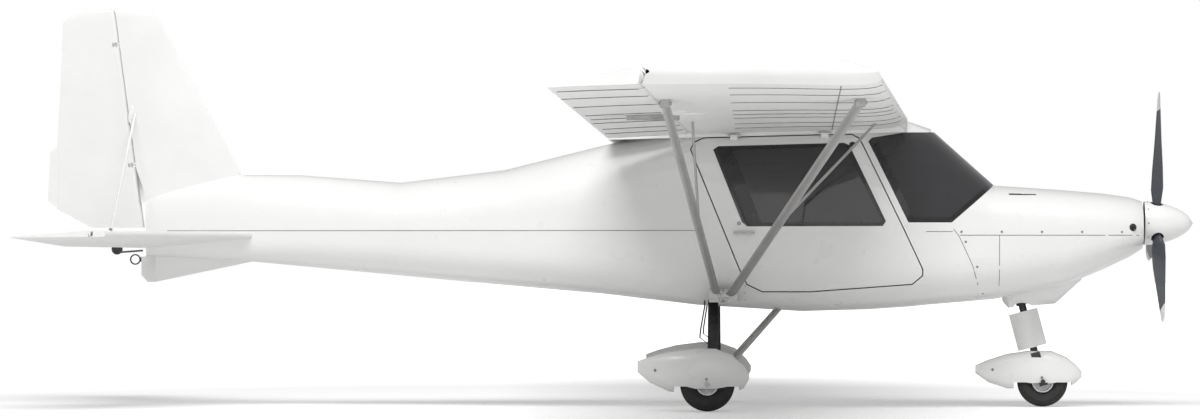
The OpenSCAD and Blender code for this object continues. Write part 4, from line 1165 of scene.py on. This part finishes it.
class MICROLIGHT_OT_vents(bpy.types.Operator):
    """Painted shade in the cowling's cooling slot and inlets, and the door catches"""

    bl_idname = "microlight.vents"
    bl_label = "Vents"

    def execute(self, context):
        cowl = skin_tree(*COWL_SKIN)
        bm = bmesh.new()
        # The cooling slot and the inlet are black sheets of painted shade laid on the cowling, in place of the
        # openings' dark inside.
        for side in (LEFT, RIGHT):
            path = side_path(cowl, [(2.100, 1.138), (2.245, 1.136)], side, 0.012)
            if len(path) > 2:
                ribbon(bm, path, 0.014, 0.0012)
            hit = on_side(cowl, 2.760, 0.962, side)
            if hit:
                turned(bm, [(0.0, 0.0012), (0.013, 0.0012), (0.017, 0.0035), (0.020, 0.002), (0.021, -0.002),
                            (0.0, -0.002)], facing(*hit), 32)
        bm_piece(bm, "cowl_vent_shade", "airframe", "cabin_trim", "window_border")

        doors = {hand: skin_tree(f"door_{hand}") for hand in SIDES}
        for hand, side in SIDES.items():
            bm = bmesh.new()
            hit = on_side(doors[hand], 0.668, 0.982, side)
            if hit:
                turned(bm, [(0.0, 0.004), (0.008, 0.004), (0.010, 0.002), (0.011, -0.001), (0.0, -0.001)],
                       facing(*hit), 24)
            bm_piece(bm, f"door_lock_{hand}", f"door_{hand}", "bare_metal")
            bm = bmesh.new()
            hit = on_side(doors[hand], 1.268, 1.398, side)
            if hit:
                turned(bm, [(0.0, 0.003), (0.013, 0.003), (0.017, 0.0015), (0.019, -0.001), (0.0, -0.001)],
                       facing(*hit), 32)
                bm_piece(bm, f"door_plug_{hand}", f"door_{hand}", "cabin_trim", "window_border")
        return {"FINISHED"}


# ---------- stage ----------


def stage_finish(name, colour, glow):
    """A pale finish that the camera sees nearly white, with the object's shadow kept."""
    finish = Finish(name, roughness=0.7)
    finish.colour(finish.ramp(finish.noise(0.8), [(0.2, shade(colour, 0.99)), (0.8, colour)]))
    rays = finish.tree.nodes.new("ShaderNodeLightPath")
    seen = finish.node("ShaderNodeMath")
    seen.operation = "MAXIMUM"
    finish.tree.links.new(rays.outputs["Is Camera Ray"], seen.inputs[0])
    finish.tree.links.new(rays.outputs["Is Transmission Ray"], seen.inputs[1])
    strength = finish.node("ShaderNodeMath")
    strength.operation = "MULTIPLY"
    finish.tree.links.new(seen.outputs["Value"], strength.inputs[0])
    reach = finish.node("ShaderNodeVectorMath", Vector=finish.coordinates)
    reach.operation = "LENGTH"
    finish.tree.links.new(finish.between(reach.outputs["Value"], glow, 1.0, 4.0, 9.0), strength.inputs[1])
    finish.shader.inputs["Emission Color"].default_value = (1, 1, 1, 1)
    finish.tree.links.new(strength.outputs["Value"], finish.shader.inputs["Emission Strength"])
    return finish.material


def soft_light(name, place, target, size, power):
    light = bpy.data.lights.new(name, "AREA")
    light.shape, light.size, light.size_y, light.energy = "RECTANGLE", size[0], size[1], power
    lamp = bpy.data.objects.new(name, light)
    lamp.location = place
    lamp.rotation_euler = (Vector(target) - Vector(place)).to_track_quat("-Z", "Y").to_euler()
    bpy.context.scene.collection.objects.link(lamp)
    return lamp


class MICROLIGHT_OT_stage(bpy.types.Operator):
    """Pale floor, plain light and the camera"""

    bl_idname = "microlight.stage"
    bl_label = "Stage"

    def execute(self, context):
        scene = context.scene
        sizes = scene.microlight_stage
        bm = bmesh.new()
        bmesh.ops.create_grid(bm, x_segments=1, y_segments=1, size=90)
        ground = bpy.data.meshes.new("floor")
        bm.to_mesh(ground)
        bm.free()
        floor = bpy.data.objects.new("floor", ground)
        floor.location.z = cad_box[0][2] - 0.001
        floor.data.materials.append(stage_finish("floor_white", (0.86, 0.86, 0.86), 0.22))
        scene.collection.objects.link(floor)

        world = bpy.data.worlds.new("pale_surround")
        scene.world = world
        world.use_nodes = True
        tree = world.node_tree
        shine = tree.nodes["Background"]
        rays = tree.nodes.new("ShaderNodeLightPath")
        seen = tree.nodes.new("ShaderNodeMath")
        seen.operation = "MAXIMUM"
        tree.links.new(rays.outputs["Is Camera Ray"], seen.inputs[0])
        tree.links.new(rays.outputs["Is Transmission Ray"], seen.inputs[1])
        level = tree.nodes.new("ShaderNodeMapRange")
        tree.links.new(seen.outputs["Value"], level.inputs["Value"])
        level.inputs["To Min"].default_value = 0.39
        level.inputs["To Max"].default_value = 1.0
        shine.inputs["Color"].default_value = (1.0, 1.0, 1.0, 1.0)
        tree.links.new(level.outputs["Result"], shine.inputs["Strength"])

        soft_light("overhead", (0.5, -14.0, 20.0), (0.2, 0, 0.9), (18, 12), sizes.key_power)
        soft_light("side_fill", (2.0, -14.0, 2.5), (0.2, 0, 0.9), (8, 4), sizes.fill_power)

        low, high = (Vector(corner) for corner in cad_box)
        aim = Vector((-0.086, 0, 1.060))
        eye = bpy.data.cameras.new("camera")
        eye.lens, eye.sensor_width, eye.clip_end = sizes.lens, 36, 300
        camera = bpy.data.objects.new("camera", eye)
        away = Vector((math.sin(sizes.azimuth), -math.cos(sizes.azimuth), 0)) * sizes.distance
        camera.location = Vector((aim.x, 0, 0.868)) + away
        camera.rotation_euler = (math.radians(90.396), 0, sizes.azimuth)
        scene.collection.objects.link(camera)
        scene.camera = camera
        scene.view_settings.view_transform = "Standard"
        return {"FINISHED"}


# ---------- panel and registration ----------

OPERATORS = (
    MICROLIGHT_OT_finishes, MICROLIGHT_OT_stage, MICROLIGHT_OT_skins, MICROLIGHT_OT_seams, MICROLIGHT_OT_screws,
    MICROLIGHT_OT_tapes, MICROLIGHT_OT_borders, MICROLIGHT_OT_fittings, MICROLIGHT_OT_wheels,
    MICROLIGHT_OT_propeller, MICROLIGHT_OT_seats, MICROLIGHT_OT_cockpit, MICROLIGHT_OT_tail, MICROLIGHT_OT_vents,
)
SETTINGS = {"microlight_paint": MICROLIGHT_PG_paint, "microlight_detail": MICROLIGHT_PG_detail,
            "microlight_stage": MICROLIGHT_PG_stage}


class MICROLIGHT_PT_panel(bpy.types.Panel):
    """Sizes, colours and making steps of the aircraft"""

    bl_idname = "MICROLIGHT_PT_panel"
    bl_label = "Microlight Aircraft"
    bl_space_type = "VIEW_3D"
    bl_region_type = "UI"
    bl_category = "Microlight"

    def draw(self, context):
        for setting, group in SETTINGS.items():
            box = self.layout.box()
            for name in group.__annotations__:
                box.prop(getattr(context.scene, setting), name)
        for operator in OPERATORS:
            self.layout.operator(operator.bl_idname)


def register():
    for kind in (*SETTINGS.values(), *OPERATORS, MICROLIGHT_PT_panel):
        bpy.utils.register_class(kind)
    for name, group in SETTINGS.items():
        setattr(bpy.types.Scene, name, bpy.props.PointerProperty(type=group))


def unregister():
    for name in SETTINGS:
        delattr(bpy.types.Scene, name)
    for kind in reversed((*SETTINGS.values(), *OPERATORS, MICROLIGHT_PT_panel)):
        bpy.utils.unregister_class(kind)


def main():
    register()
    for operator in OPERATORS:
        group, name = operator.bl_idname.split(".")
        getattr(getattr(bpy.ops, group), name)()


if __name__ == "__main__":
    main()
